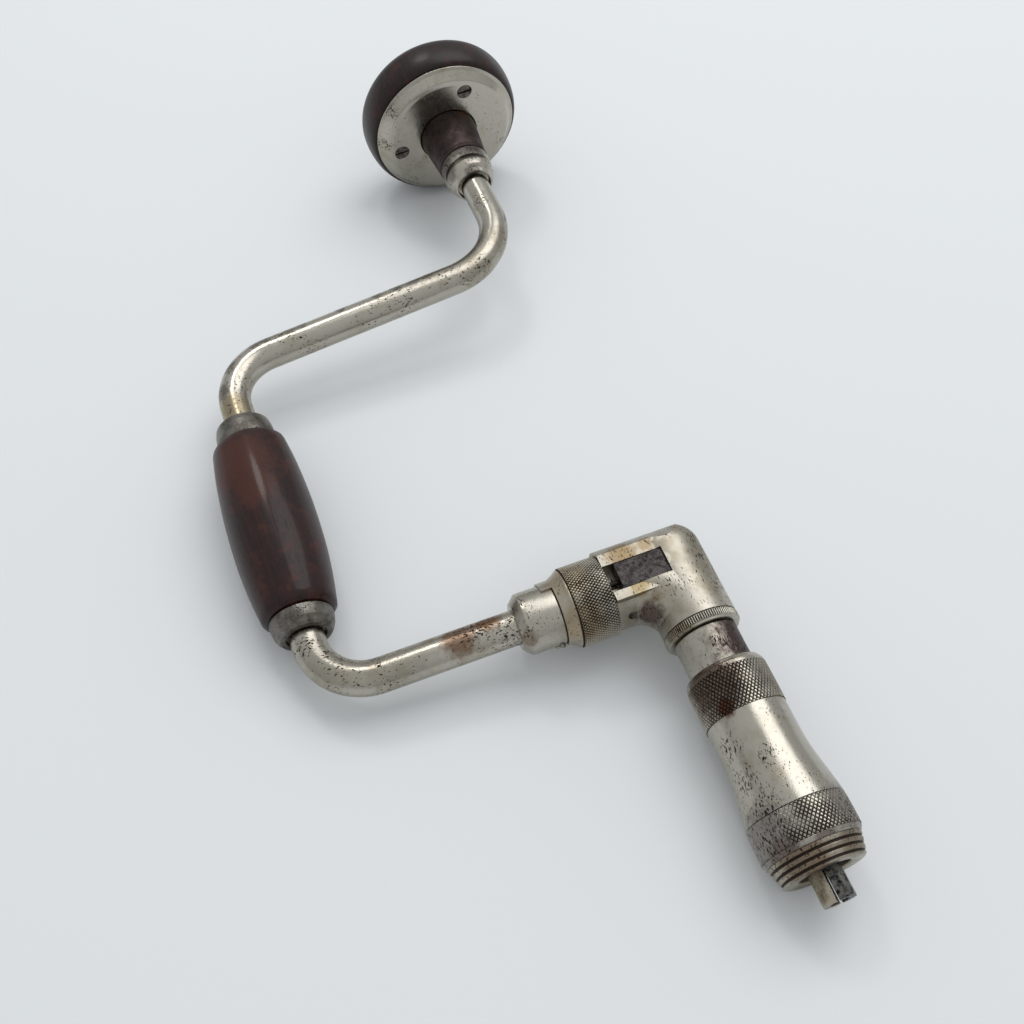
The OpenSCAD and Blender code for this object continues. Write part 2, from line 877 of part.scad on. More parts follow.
module bearing_cap() {
  color(steel)
    laid()
      difference() {
        on_axis()
          polygon([[cap_bore_r, cap_flange_from - cap_length],
            [chamber_r - 0.02, cap_flange_from - cap_length],
            [chamber_r - 0.02, cap_flange_from],
            [cap_flange_r - 0.3, cap_flange_from],
            [cap_flange_r, cap_flange_from + 0.3],
            [cap_flange_r, cap_flange_from + cap_flange_length - 1],
            [cap_flange_r - 0.6, cap_flange_from + cap_flange_length - 0.7],
            [cap_flange_r - 0.6, cap_flange_from + cap_flange_length],
            [cap_bore_r, cap_flange_from + cap_flange_length]]);
        // Notches of the milled edge
        for (i = [0 : cap_teeth - 1])
          rotate([360 * i / cap_teeth, 0, 0])
            translate([cap_flange_from + 0.4, cap_flange_r - cap_tooth_depth, -cap_tooth_depth])
              cube([cap_flange_length - 1.6, over, 2 * cap_tooth_depth]);
      }
}

// One saw tooth gap of the wheel, in the plane across the axis
module tooth_gap() {
  pitch = 360 / tooth_count;
  polygon([[wheel_root_r, 0],
    [wheel_r + over, 0],
    [(wheel_r + over) * cos(pitch * 0.8), (wheel_r + over) * sin(pitch * 0.8)]]);
}

module ratchet_wheel() {
  color(dark_steel)
    laid()
      translate([arm_at - wheel_half, 0, 0])
        rotate([0, 90, 0])
          difference() {
            cylinder(r = wheel_r, h = 2 * wheel_half);
            translate([0, 0, -over])
              cylinder(r = wheel_bore_r, h = 2 * (wheel_half + over));
            for (i = [0 : tooth_count - 1])
              rotate([0, 0, 360 * i / tooth_count])
                translate([0, 0, -over])
                  linear_extrude(height = 2 * (wheel_half + over))
                    tooth_gap();
          }
}

module spindle() {
  color(dark_steel)
    laid()
      rotate([chuck_turn, 0, 0])
        difference() {
          on_axis()
            polygon([[0, pivot_top_at + 0.4],
              [pivot_r, pivot_top_at + 0.4],
              [pivot_r, arm_at - wheel_half - 0.6],
              [wheel_bore_r, arm_at - wheel_half - 0.6],
              [wheel_bore_r, arm_at + wheel_half],
              [journal_r, arm_at + wheel_half],
              [journal_r, neck_from],
              [neck_r + 0.2, neck_from],
              [neck_r + 0.3, neck_from + 0.6],
              [neck_r, neck_from + 3],
              [neck_r - 0.1, neck_from + 7],
              [neck_r, thread_from - 0.4],
              [neck_r - 0.4, thread_from],
              [thread_r, thread_from],
              [thread_r, spindle_end - edge],
              [thread_r - edge, spindle_end],
              [0, spindle_end]]);
          rod_x(tang_r, tang_from, spindle_end + over);
          translate([slot_from, -thread_r - over, -slot_half])
            cube([spindle_end - slot_from + over, 2 * (thread_r + over), 2 * slot_half]);
        }
}

// The shell's outer radius at a share of the flare, smooth at both ends
flare_steps = 14;
function flare(t) = waist_r + (swell_r - waist_r) * t * t * (3 - 2 * t);

module chuck_shell() {
  color(steel)
    laid()
      rotate([chuck_turn, 0, 0])
        on_axis()
          polygon(concat(
            [[rim_bore_r, shell_from],
             [shell_r - 0.9, shell_from],
             [shell_r - 0.3, shell_from + 0.5],
             [shell_r, shell_from + 1.6],
             [shell_r, upper_knurl_to],
             [waist_r + 0.05, upper_knurl_to + 0.6],
             [waist_r, upper_knurl_to + 4]],
            [for (i = [0 : flare_steps]) let(t = i / flare_steps)
              [flare(t), flare_from + t * (flare_to - flare_from)]],
            [[swell_r, swell_to],
             [swell_r - 0.25, swell_to + 1.7],
             [nose_shoulder_r, shell_to],
             [cavity_r, shell_to],
             [cavity_r, shell_thread_to],
             [shell_thread_r, shell_thread_to],
             [shell_thread_r, shell_from + rim_length],
             [rim_bore_r, shell_from + rim_length]]));
}

// The nose's outer radius at a station, a straight taper
function nose_radius(x) = nose_shoulder_r - 0.25
  - (nose_shoulder_r - 0.25 - nose_r) * (x - shell_to) / (nose_at - shell_to);

module nose_ring() {
  color(steel)
    laid()
      rotate([chuck_turn, 0, 0])
        difference() {
          on_axis()
            polygon([[nose_sleeve_r - 0.6, nose_sleeve_from],
              [nose_sleeve_r, nose_sleeve_from + 0.6],
              [nose_sleeve_r, shell_to + fit],
              [nose_shoulder_r - 0.25, shell_to + fit],
              [nose_radius(nose_at - edge), nose_at - edge],
              [nose_r - edge, nose_at],
              [nose_bore_r, nose_at],
              [nose_bore_r, cone_end_at],
              [nose_bore_r + cone_slope * (cone_end_at - nose_sleeve_from), nose_sleeve_from]]);
          // Turned grooves
          on_axis()
            for (i = [0 : groove_count - 1])
              translate([nose_radius(shell_to + 1.6 + i * groove_gap) - groove_depth,
                  shell_to + 1.6 + i * groove_gap])
                square([over + groove_depth, groove_w]);
        }
}

// One jaw, on the side given by 1 or -1
module jaw(side) {
  difference() {
    union() {
      intersection() {
        on_axis()
          polygon([[0, jaw_body_from],
            [jaw_big_r, jaw_body_from],
            [jaw_big_r, jaw_cone_at],
            [jaw_neck_r, cone_end_at],
            [jaw_corner_r, cone_end_at + jaw_neck_fade],
            [jaw_corner_r, jaw_tip_at - edge],
            [jaw_corner_r - edge, jaw_tip_at],
            [0, jaw_tip_at]]);
        union() {
          rod_x(jaw_big_r + over, jaw_body_from - over, cone_end_at + jaw_neck_fade);
          translate([cone_end_at, -jaw_w / 2, -jaw_w / 2])
            cube([jaw_tip_at - cone_end_at + over, jaw_w, jaw_w]);
        }
      }
      intersection() {
        rod_x(jaw_tail_r, jaw_tail_from, jaw_body_from + over);
        translate([jaw_tail_from - over, -jaw_tail_r - over, -jaw_tail_half])
          cube([jaw_body_from - jaw_tail_from + 2 * over, 2 * (jaw_tail_r + over), 2 * jaw_tail_half]);
      }
    }
    rod_x(socket_r, jaw_tail_from - over, jaw_tip_at + over);
    // Square pocket for a bit's tapered end
    translate([jaw_tail_from - over, 0, 0])
      rotate([45, 0, 0])
        translate([0, -vee_side / 2, -vee_side / 2])
          cube([vee_to - jaw_tail_from + over, vee_side, vee_side]);
    // The other jaw's half and half the gap
    translate([jaw_tail_from - over, side > 0 ? -jaw_big_r - over : -jaw_gap / 2, -jaw_big_r - over])
      cube([jaw_tip_at - jaw_tail_from + 2 * over, jaw_big_r + over + jaw_gap / 2,
        2 * (jaw_big_r + over)]);
  }
}

module jaw_a() {
  color(grey_metal)
    laid()
      rotate([chuck_turn, 0, 0])
        jaw(1);
}

module jaw_b() {
  color(grey_metal)
    laid()
      rotate([chuck_turn, 0, 0])
        jaw(-1);
}

// The leaf spring that spreads the jaws, seated in the bottom of the spindle's socket
module jaw_spring() {
  leaf_y = socket_r + 1.4;
  color(grey_metal)
    laid()
      rotate([chuck_turn, 0, 0])
        intersection() {
          rod_x(tang_r - fit, tang_from, jaw_tail_from);
          union() {
            translate([tang_from, -leaf_y, -jaw_leaf_half])
              cube([jaw_leaf_t * 2, 2 * leaf_y, 2 * jaw_leaf_half]);
            for (side = [-1, 1])
              translate([tang_from, side * leaf_y - jaw_leaf_t / 2, -jaw_leaf_half])
                cube([jaw_tail_from - tang_from - fit, jaw_leaf_t, 2 * jaw_leaf_half]);
          }
        }
}

head_knob();
head_plate();
head_plate_screws();
quill_sleeve();
head_bearing_balls();
head_nut();
quill_collar();
frame();
upper_ferrule();
handle_grip();
lower_ferrule();
arm_boss();
selector_ring();
stop_pin();
ratchet_housing();
pawl_front();
pawl_rear();
pawl_spring_front();
pawl_spring_rear();
housing_rivet();
bearing_cap();
ratchet_wheel();
spindle();
chuck_shell();
nose_ring();
jaw_a();
jaw_b();
jaw_spring();
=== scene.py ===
import json
import math
import bpy
import bmesh
from bpy.props import FloatProperty, FloatVectorProperty, IntProperty, PointerProperty
from mathutils import Matrix, Vector, noise


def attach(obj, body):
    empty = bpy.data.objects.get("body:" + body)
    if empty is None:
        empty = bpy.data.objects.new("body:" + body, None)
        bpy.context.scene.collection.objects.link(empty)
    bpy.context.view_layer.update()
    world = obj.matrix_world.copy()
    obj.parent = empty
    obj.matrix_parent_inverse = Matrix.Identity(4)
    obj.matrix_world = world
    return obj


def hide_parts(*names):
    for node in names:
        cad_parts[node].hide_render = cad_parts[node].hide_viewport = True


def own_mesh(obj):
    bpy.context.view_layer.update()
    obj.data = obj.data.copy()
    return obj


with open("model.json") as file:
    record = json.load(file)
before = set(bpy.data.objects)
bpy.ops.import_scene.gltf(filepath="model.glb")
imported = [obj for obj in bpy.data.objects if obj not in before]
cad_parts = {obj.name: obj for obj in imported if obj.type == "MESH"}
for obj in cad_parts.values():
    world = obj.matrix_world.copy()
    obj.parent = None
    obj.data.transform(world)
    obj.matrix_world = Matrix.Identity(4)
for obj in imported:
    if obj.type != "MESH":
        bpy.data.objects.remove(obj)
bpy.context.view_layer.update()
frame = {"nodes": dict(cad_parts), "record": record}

MM = 1000  # millimetres in a metre

bl_info = {
    "name": "Ratchet bit brace",
    "version": (1, 0, 0),
    "blender": (4, 5, 0),
    "location": "View3D > Sidebar > Brace",
    "description": "An old bit brace with elbow ratchet, lying on a pale floor",
    "category": "Object",
}

# The brace is drawn in millimetres along its own axis: X from the crown of the head to the
# chuck, the handle on -Y, Z out of the crank's plane. LAID lays it on the floor in metres.
JOINTS = {joint["name"]: joint for joint in frame["record"]["behaviour"]["joints"]}
ALONG = Vector(JOINTS["head_spin"]["axis"]).normalized()
ACROSS = Vector(JOINTS["selector_turn"]["axis"]).normalized()
ABOVE = ALONG.cross(ACROSS).normalized()
HEAD_LENGTH = 0.051  # metres from the crown to the place of the head's joint
CROWN = Vector(JOINTS["head_spin"]["pos_m"]) - ALONG * HEAD_LENGTH
TURNED_IN = Matrix((ALONG, ACROSS, ABOVE)).transposed()
LAID = Matrix.Translation(CROWN) @ TURNED_IN.to_4x4() @ Matrix.Scale(1 / MM, 4)
UPRIGHT = LAID.inverted()


def span(node):
    """Lowest and highest corner of a frame node along the brace's own axes, in millimetres"""
    points = [UPRIGHT @ vertex.co for vertex in frame["nodes"][node].data.vertices]
    low = Vector([min(point[i] for point in points) for i in range(3)])
    high = Vector([max(point[i] for point in points) for i in range(3)])
    return low, high


def ends(node, axis=0):
    """Where a frame node starts and stops along one of the brace's axes"""
    low, high = span(node)
    return low[axis], high[axis]


HUB = 13.1  # radius of the sleeve where it stands in the head's plate
BORE = 6.25  # radius of the rings' bore, which is a running fit on the rod
THROW = -(UPRIGHT @ Vector(JOINTS["grip_spin"]["pos_m"])).y
ARM_AT = (UPRIGHT @ Vector(JOINTS["selector_turn"]["pos_m"])).x


# Colours

def linear(hex_colour):
    """Linear colour of an sRGB hex value such as #C8B496"""
    parts = [int(hex_colour[i:i + 2], 16) / 255 for i in (1, 3, 5)]
    return tuple(p / 12.92 if p <= 0.04045 else ((p + 0.055) / 1.055) ** 2.4 for p in parts)


def colour_property(name, description, hex_colour):
    return FloatVectorProperty(name=name, description=description, subtype="COLOR", size=3,
                               min=0, max=1, default=linear(hex_colour))


def size_property(name, description, millimetres):
    return FloatProperty(name=name, description=description, unit="LENGTH", min=0,
                         default=millimetres / MM)


def mm(metres):
    return metres * MM


class BraceSizes(bpy.types.PropertyGroup):
    rod_width: size_property("Rod", "Diameter of the bent rod", 12.4)
    upper_corner: size_property("Upper corner", "From crown to the bend below the head", 110.8)
    crank_corner: size_property("Crank corner", "From crown to the bend above the grip", 125.2)
    upper_bend: size_property("Upper bend", "Radius of the bend below the head", 30.4)
    crank_bend: size_property("Crank bend", "Radius of the bend above the grip", 21.2)
    lower_bend: size_property("Lower bend", "Radius of the bend below the grip", 19.9)
    head_width: size_property("Head", "Largest diameter of the wooden head", 71.6)
    grip_width: size_property("Grip", "Largest diameter of the wooden grip", 33.1)
    ring_width: size_property("Selector", "Diameter over the selector ring's knurl", 28.8)
    shell_width: size_property("Shell", "Diameter over the shell's upper knurl", 28.4)
    swell_width: size_property("Swell", "Largest diameter of the shell", 33.8)
    knurl_depth: size_property("Knurl depth", "Depth of the knurl's diamonds", 0.4)
    cap_teeth: IntProperty(name="Cap teeth", description="Teeth round the bearing cap",
                           min=12, default=100)


class BraceColours(bpy.types.PropertyGroup):
    plate: colour_property("Nickel plate", "Clean nickel plate", "#B1ACA1")
    tarnish: colour_property("Tarnish", "Plate under a yellowish film", "#978D79")
    # The pit colour also paints the shade in grooves and between knurl diamonds
    pit: colour_property("Pits", "Where the plate has gone", "#332B26")
    rust: colour_property("Rust", "Dried rust round the pits", "#5A3D2A")
    wood: colour_property("Wood", "Stained hardwood", "#2E110C")
    wood_dark: colour_property("Dark wood", "The wood's dark grain", "#190A09")
    steel: colour_property("Steel", "Bare steel under a grey patina", "#77726B")
    oxide: colour_property("Oxide", "Steel gone dark", "#3A3431")


# Outlines, as points of station and radius

def eased(points, steps=4):
    """Rounds the corners of an outline whose points carry a corner radius as a third number"""
    outline = []
    for i, point in enumerate(points):
        if len(point) < 3 or i in (0, len(points) - 1):
            outline.append(Vector(point[:2]))
            continue
        corner = Vector(point[:2])
        back = Vector(points[i - 1][:2]) - corner
        ahead = Vector(points[i + 1][:2]) - corner
        half = back.angle(ahead) / 2
        reach = min(point[2] / math.tan(half), back.length * 0.49, ahead.length * 0.49)
        start = corner + back.normalized() * reach
        end = corner + ahead.normalized() * reach
        for k in range(steps + 1):
            t = k / steps
            outline.append(start * (1 - t) ** 2 + corner * 2 * t * (1 - t) + end * t * t)
    return outline


# Where a turned point lies: station, radius and angle about one of the three axes

def about_brace(station, radius, angle):
    return Vector((station, radius * math.cos(angle), radius * math.sin(angle)))


def about_handle(station, radius, angle):
    return about_brace(station, radius, angle) - Vector((0, THROW, 0))


def about_arm(station, radius, angle):
    return Vector((ARM_AT + radius * math.sin(angle), station, radius * math.cos(angle)))


SHARP = 38  # degrees between two faces from which their edge is drawn sharp


class Shape:
    """Points, faces and one value for each point, gathered before they become a mesh"""

    def __init__(self):
        self.points = []
        self.faces = []
        self.crest = []

    def add(self, point, crest=1.0):
        self.points.append(point)
        self.crest.append(crest)
        return len(self.points) - 1

    def turn(self, outline, place, steps=128, closed=False, bite=None, arc=None, shade=None):
        """Spins an outline about an axis, a full turn or from one angle to another"""
        first, last = arc or (0, math.tau)
        columns = steps + 1 if arc else steps
        rows = []
        for station, radius in outline:
            row = []
            for i in range(columns):
                angle = first + (last - first) * i / steps
                if radius < 1e-6:
                    row = [self.add(place(station, 0, 0))] * columns
                    break
                change = bite(station, angle) if bite else 0
                crest = shade(station, angle) if shade else 1.0
                row.append(self.add(place(station, radius + change, angle), crest))
            rows.append(row)
        pairs = list(zip(rows, rows[1:])) + ([(rows[-1], rows[0])] if closed else [])
        for one, two in pairs:
            for i in range(steps):
                j = (i + 1) % columns
                face = []
                for index in (one[i], one[j], two[j], two[i]):
                    if index not in face:
                        face.append(index)
                if len(face) > 2:
                    self.faces.append(face)
        if arc:
            self.faces.append([row[0] for row in rows])
            self.faces.append([row[-1] for row in reversed(rows)])
        return self

    def knurl(self, place, surface, start, end, around, rows, depth, wear):
        """A band of diamonds between two stations: flat-topped and shallow where it is worn"""
        pitch = (end - start) / rows
        made = {}

        def corner(i, j):
            key = (i % (2 * around), j)
            if key not in made:
                station = start + j * pitch / 2
                angle = math.pi * i / around
                # A corner's crest value sets the painted shade in the valley: dark where the
                # diamonds are deep, lighter where worn
                worn = 0.75 * wear(station, angle)
                radius = surface(station) - depth * (1 - worn)
                made[key] = self.add(place(station, radius, angle), worn)
            return made[key]

        for j in range(0, 2 * rows + 1):
            for i in range(2 * around):
                if (i + j) % 2 == 0:
                    continue
                station = start + j * pitch / 2
                angle = math.pi * i / around
                worn = wear(station, angle)
                top = 0.45 + 0.3 * worn
                radius = surface(station) - depth * 0.15 * worn
                half = [(-1, 0), (0, 1), (1, 0), (0, -1)]
                if j == 0:
                    half = [(-1, 0), (0, 1), (1, 0)]
                if j == 2 * rows:
                    half = [(1, 0), (0, -1), (-1, 0)]
                outer = [corner(i + di, j + dj) for di, dj in half]
                inner = [self.add(place(station + dj * pitch / 2 * top, radius,
                                        angle + math.pi * di / around * top),
                                  1.0) for di, dj in half]
                count = len(half)
                self.faces.append(inner)
                for k in range(count if count == 4 else count - 1):
                    n = (k + 1) % count
                    self.faces.append([outer[k], outer[n], inner[n], inner[k]])
        return self

    def sweep(self, path, radius, steps=48, wobble=0.03):
        """A round rod along a path in the crank's plane"""
        rows = []
        for i, point in enumerate(path):
            ahead = (path[min(i + 1, len(path) - 1)] - path[max(i - 1, 0)]).normalized()
            side = Vector((-ahead.y, ahead.x, 0))
            row = []
            for k in range(steps):
                angle = math.tau * k / steps
                out = side * math.cos(angle) + Vector((0, 0, math.sin(angle)))
                spot = Vector((point.x, point.y, 0)) + out * radius
                spot += out * noise.noise(spot / 13) * wobble
                row.append(self.add(spot))
            rows.append(row)
        return self.skin(rows)

    def coil(self, foot, length, radius, wire, turns, steps=24, sides=8):
        """A coil spring that stands on its foot and reaches along the arm"""
        rows = []
        count = steps * turns
        for i in range(count + 1):
            angle = math.tau * i / steps
            out = Vector((math.cos(angle), 0, math.sin(angle)))
            climb = wire + (length - 2 * wire) * i / count
            middle = foot + out * radius + Vector((0, climb, 0))
            rows.append([self.add(middle + wire * (out * math.cos(a)
                                                   + Vector((0, math.sin(a), 0))))
                         for a in (math.tau * k / sides for k in range(sides))])
        return self.skin(rows)

    def skin(self, rows):
        """Closes rings of points into a tube with two flat ends"""
        sides = len(rows[0])
        for one, two in zip(rows, rows[1:]):
            for k in range(sides):
                n = (k + 1) % sides
                self.faces.append([one[k], one[n], two[n], two[k]])
        self.faces.append(rows[0])
        self.faces.append(rows[-1][::-1])
        return self

    def lay(self, name):
        """Makes the mesh, welded and facing outward, and lays it on the floor"""
        mesh = bpy.data.meshes.new(name)
        mesh.from_pydata([LAID @ point for point in self.points], [], self.faces)
        crest = mesh.attributes.new("crest", "FLOAT", "POINT")
        crest.data.foreach_set("value", self.crest)
        work = bmesh.new()
        work.from_mesh(mesh)
        bmesh.ops.remove_doubles(work, verts=work.verts, dist=1e-7)
        bmesh.ops.recalc_face_normals(work, faces=work.faces)
        work.to_mesh(mesh)
        work.free()
        piece = bpy.data.objects.new(name, mesh)
        bpy.context.scene.collection.objects.link(piece)
        return piece

    def build(self, name, body, node, material, slot, sharp=SHARP):
        """Makes a piece that rides on a body and stands for its frame node"""
        piece = self.lay(name)
        piece.data.shade_smooth()
        piece.data.set_sharp_from_angle(angle=math.radians(sharp))
        piece.data.materials.append(material)
        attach(piece, body)
        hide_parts(node)
        return piece


def wavy(length, amount, seed):
    """A slight unevenness of a turned surface"""
    def bite(station, angle):
        spot = Vector((station / length, 2 * math.cos(angle) + seed, 2 * math.sin(angle)))
        return noise.noise(spot) * amount
    return bite


def turned(outline, name, body, node, material, slot, place=about_brace, steps=112,
           closed=True, bite=None, shade=None, sharp=SHARP):
    """A piece turned from an outline, which stands for its frame node"""
    shape = Shape().turn(outline, place, steps, closed=closed, bite=bite, shade=shade)
    return shape.build(name, body, node, material, slot, sharp)


# Materials

def add_node(tree, kind, inputs, output=0, **settings):
    """Adds a node with its settings, values and links, and gives the output asked for"""
    node = tree.nodes.new("ShaderNode" + kind)
    for key, value in settings.items():
        setattr(node, key, value)
    for key, value in inputs.items():
        socket = node.inputs[key]
        if isinstance(value, bpy.types.NodeSocket):
            tree.links.new(value, socket)
        else:
            socket.default_value = (*value, 1.0) if socket.type == "RGBA" else value
    return node.outputs[output] if node.outputs else None


def new_material(name):
    """A material with its shader, and the place on the brace in millimetres"""
    material = bpy.data.materials.new(name)
    material.use_nodes = True
    tree = material.node_tree
    back = TURNED_IN.transposed()
    place = add_node(tree, "Mapping", {
        "Vector": add_node(tree, "TexCoord", {}, "Object"), "Scale": (MM, MM, MM),
        "Rotation": back.to_euler(), "Location": back @ CROWN * -MM})
    return material, tree, tree.nodes["Principled BSDF"], place


def mottling(tree, place, size, detail=4.0, stretch=(1, 1, 1)):
    """Even noise about a half, its patches of about the given size in millimetres"""
    scaled = add_node(tree, "VectorMath", {0: place, 1: stretch}, operation="MULTIPLY")
    return add_node(tree, "TexNoise", {
        "Vector": scaled, "Scale": 1 / size, "Detail": detail, "Roughness": 0.6}, "Fac")


def cloudy(tree, place, size, low, high, detail=4.0, stretch=(1, 1, 1)):
    """Soft patches, from none to full between two levels of the noise"""
    level = mottling(tree, place, size, detail, stretch)
    return add_node(tree, "MapRange", {"Value": level, "From Min": low, "From Max": high},
                    interpolation_type="SMOOTHSTEP")


def add_up(tree, total, *shares):
    """A total raised by each share times its amount"""
    for share, amount in shares:
        total = add_node(tree, "Math", {0: share, 1: amount, 2: total},
                         operation="MULTIPLY_ADD")
    return total


def highest(tree, values):
    """The highest of several values"""
    result = values[0]
    for value in values[1:]:
        result = add_node(tree, "Math", {0: result, 1: value}, operation="MAXIMUM")
    return result


def cover(tree, colour, coat, share, amount=1.0):
    """A colour under a coat of another, which is as full as its share times an amount"""
    part = add_node(tree, "Math", {0: share, 1: amount}, operation="MULTIPLY")
    return add_node(tree, "Mix", {"Factor": part, 6: colour, 7: coat}, 2, data_type="RGBA")


def near(tree, place, centre, radius, ragged=0.6, size=3.0, core=0.55):
    """Full round a spot on the brace, fading out raggedly at the radius"""
    distance = add_node(tree, "VectorMath", {0: place, 1: centre}, "Value",
                        operation="DISTANCE")
    rough = add_node(tree, "TexNoise", {
        "Vector": place, "Scale": 1 / size, "Detail": 5.0, "Roughness": 0.65}, "Fac")
    reach = ragged * radius
    pushed = add_up(tree, distance, (rough, -2 * reach))
    return add_node(tree, "MapRange", {
        "Value": pushed, "From Min": radius * core - reach, "From Max": radius * 1.2 - reach,
        "To Min": 1.0, "To Max": 0.0}, interpolation_type="SMOOTHSTEP")


def pitted(tree, specks, crowded, low, high):
    """Pits at the highest specks, and more of them where they crowd together"""
    level = add_up(tree, specks, (highest(tree, crowded), 0.17))
    return add_node(tree, "MapRange", {"Value": level, "From Min": low, "From Max": high},
                    interpolation_type="SMOOTHSTEP")


def groove_shade_and_grime(tree, colour, lost):
    """Painted shade in grooves and knurls, with old grime, where a piece's crest attribute is
    low
    """
    crest = add_node(tree, "Attribute", {}, "Fac", attribute_name="crest")
    shade_and_grime = add_node(tree, "MapRange", {
        "Value": crest, "From Min": 0.2, "From Max": 0.65, "To Min": 1.0, "To Max": 0.0},
        interpolation_type="SMOOTHSTEP")
    # The pit colour paints the shade, with grime, down in the grooves
    colour = cover(tree, colour, bpy.context.scene.brace_colours.pit, shade_and_grime, 0.95)
    return colour, highest(tree, [lost, add_up(tree, 0.0, (shade_and_grime, 0.6))])


def finish_metal(material, tree, shader, colour, roughness, height, relief=0.15):
    """Bare metal with rounded edges and a relief of so many millimetres"""
    edge = add_node(tree, "Bevel", {"Radius": 0.25 / MM}, samples=4)
    bump = add_node(tree, "Bump", {
        "Strength": 1.0, "Distance": relief / MM, "Height": height, "Normal": edge})
    shader.inputs["Metallic"].default_value = 1.0
    for socket, value in (("Base Color", colour), ("Roughness", roughness), ("Normal", bump)):
        tree.links.new(value, shader.inputs[socket])
    return material


def nickelled(name, film=0.4, pits=0.35, rough=0.24, spots=(), stains=(), scored=(0.4, 1, 1),
              grooves=False, pit=0.55):
    """Nickel electroplated on turned and polished steel, a century old. The eye sees a warm
    grey mirror gone soft, a yellowish film in patches, and fine black pits that crowd together
    where the plate has lifted. Spots are crowded pits; a stain also has a colour and a share."""
    colours = bpy.context.scene.brace_colours
    material, tree, shader, place = new_material(name)
    filmed = cloudy(tree, place, 12.0, 0.6 - 0.25 * film, 1.0 - 0.25 * film, 3.0)
    colour = cover(tree, colours.plate, colours.tarnish, filmed)
    crowded = [add_up(tree, 0.0, (cloudy(tree, place, 14.0, 0.3, 0.7, 3.0), pits))]
    veils = [add_up(tree, 0.0, (filmed, 0.06))]
    for *centre, radius in spots:
        crowd = near(tree, place, centre, radius, core=0.0)
        crowded.append(crowd)
        rusty = cloudy(tree, place, 2.2, 0.5, 0.85)
        colour = cover(tree, colour, colours.rust, crowd, rusty)
    for *centre, radius, tone, share in stains:
        stain = near(tree, place, centre, radius, 0.5, 2.5)
        crowded.append(add_up(tree, 0.0, (stain, 0.8 * share)))
        veils.append(add_up(tree, 0.0, (stain, 0.12 * share)))
        colour = cover(tree, colour, linear(tone), stain, share)
    # Pits are a tenth to half a millimetre wide; the finest are drawn coarser so that they show
    lost = pitted(tree, mottling(tree, place, pit, 5.0, scored), crowded, 0.68, 0.73)
    colour = cover(tree, colour, colours.pit, lost)
    # Painted shade, with old grime, in grooves and between knurl diamonds
    if grooves:
        colour, lost = groove_shade_and_grime(tree, colour, lost)
    wiped = cloudy(tree, place, 4.0, 0.35, 0.7)
    roughness = add_up(tree, rough, (wiped, 0.06), (highest(tree, veils), 1.0), (lost, 0.35))
    # Polishing marks are finer than the render shows, and drawn at a third of a millimetre
    marks = mottling(tree, place, 0.35, 3.0, scored)
    height = add_up(tree, 0.0, (marks, 0.35), (lost, -1.0))
    return finish_metal(material, tree, shader, colour, roughness, height, 0.1)


def browned(name, rough=0.42, patch=5.0, spots=(), tones=None):
    """Steel that was never plated or has lost its plate, darkened by oxide and handling. The
    eye sees a soft, mottled grey brown with rubbed, brighter places and many small pits."""
    colours = bpy.context.scene.brace_colours
    material, tree, shader, place = new_material(name)
    light, dark = [linear(tone) for tone in tones] if tones else (colours.steel, colours.oxide)
    mottled = cloudy(tree, place, patch, 0.38, 0.66, 6.0)
    colour = cover(tree, light, dark, mottled)
    crowded = [add_up(tree, 0.0, (cloudy(tree, place, 7.0, 0.35, 0.7, 2.0), 0.5))]
    for *centre, radius in spots:
        crowded.append(near(tree, place, centre, radius))
        colour = cover(tree, colour, colours.rust, crowded[-1], 0.8)
    lost = pitted(tree, mottling(tree, place, 0.7, 3.0), crowded, 0.66, 0.74)
    colour = cover(tree, colour, colours.pit, lost)
    roughness = add_up(tree, rough, (mottled, 0.12), (lost, 0.25))
    height = add_up(tree, 0.0, (lost, -1.0))
    return finish_metal(material, tree, shader, colour, roughness, height)


def polished_wood(name, light, dark, worn=0.3, gloss=0.27, spots=()):
    """Beech or cocobolo turned, stained and varnished, then polished by hands. The eye sees a
    deep red brown, nearly black in the grain, under a thin clear coat with soft highlights."""
    material, tree, shader, place = new_material(name)
    grain = cloudy(tree, place, 1.6, 0.3, 0.72, 6.0, (0.09, 1.0, 1.0))
    # Pores are a tenth of a millimetre wide, and drawn at three times that so that they show
    pores = cloudy(tree, place, 0.35, 0.6, 0.72, 2.0, (0.05, 1.0, 1.0))
    figure = cloudy(tree, place, 14.0, 0.35, 0.7, 3.0, (0.4, 1, 1))
    colour = cover(tree, light, dark, grain)
    colour = cover(tree, colour, dark, figure, 0.5)
    colour = cover(tree, colour, linear("#120807"), pores, 0.7)
    # Lighter red-brown patches: rubbed wear at random, and a painted sheen at the spots given
    rubbed = highest(tree, [cloudy(tree, place, 7.0, 0.5, 0.75)]
                     + [near(tree, place, centre, radius) for *centre, radius in spots])
    colour = cover(tree, colour, linear("#5A2C1C"), rubbed, worn)
    for socket, value in (("IOR", 1.5), ("Specular IOR Level", 0.2), ("Coat Weight", 0.25),
                          ("Coat Roughness", gloss), ("Coat IOR", 1.5)):
        shader.inputs[socket].default_value = value
    dents = cloudy(tree, place, 5.0, 0.3, 0.7, 3.0)
    height = add_up(tree, 0.0, (dents, 0.5), (pores, -1.0))
    bump = add_node(tree, "Bump", {"Strength": 0.6, "Distance": 0.12 / MM, "Height": height})
    roughness = add_up(tree, 0.42, (rubbed, 0.12))
    for socket, value in (("Base Color", colour), ("Roughness", roughness), ("Normal", bump)):
        tree.links.new(value, shader.inputs[socket])
    return material


def dress(material, *nodes):
    """Gives frame nodes that keep their own shape their finish"""
    for node in nodes:
        mesh = frame["nodes"][node].data
        mesh.materials.clear()
        mesh.materials.append(material)


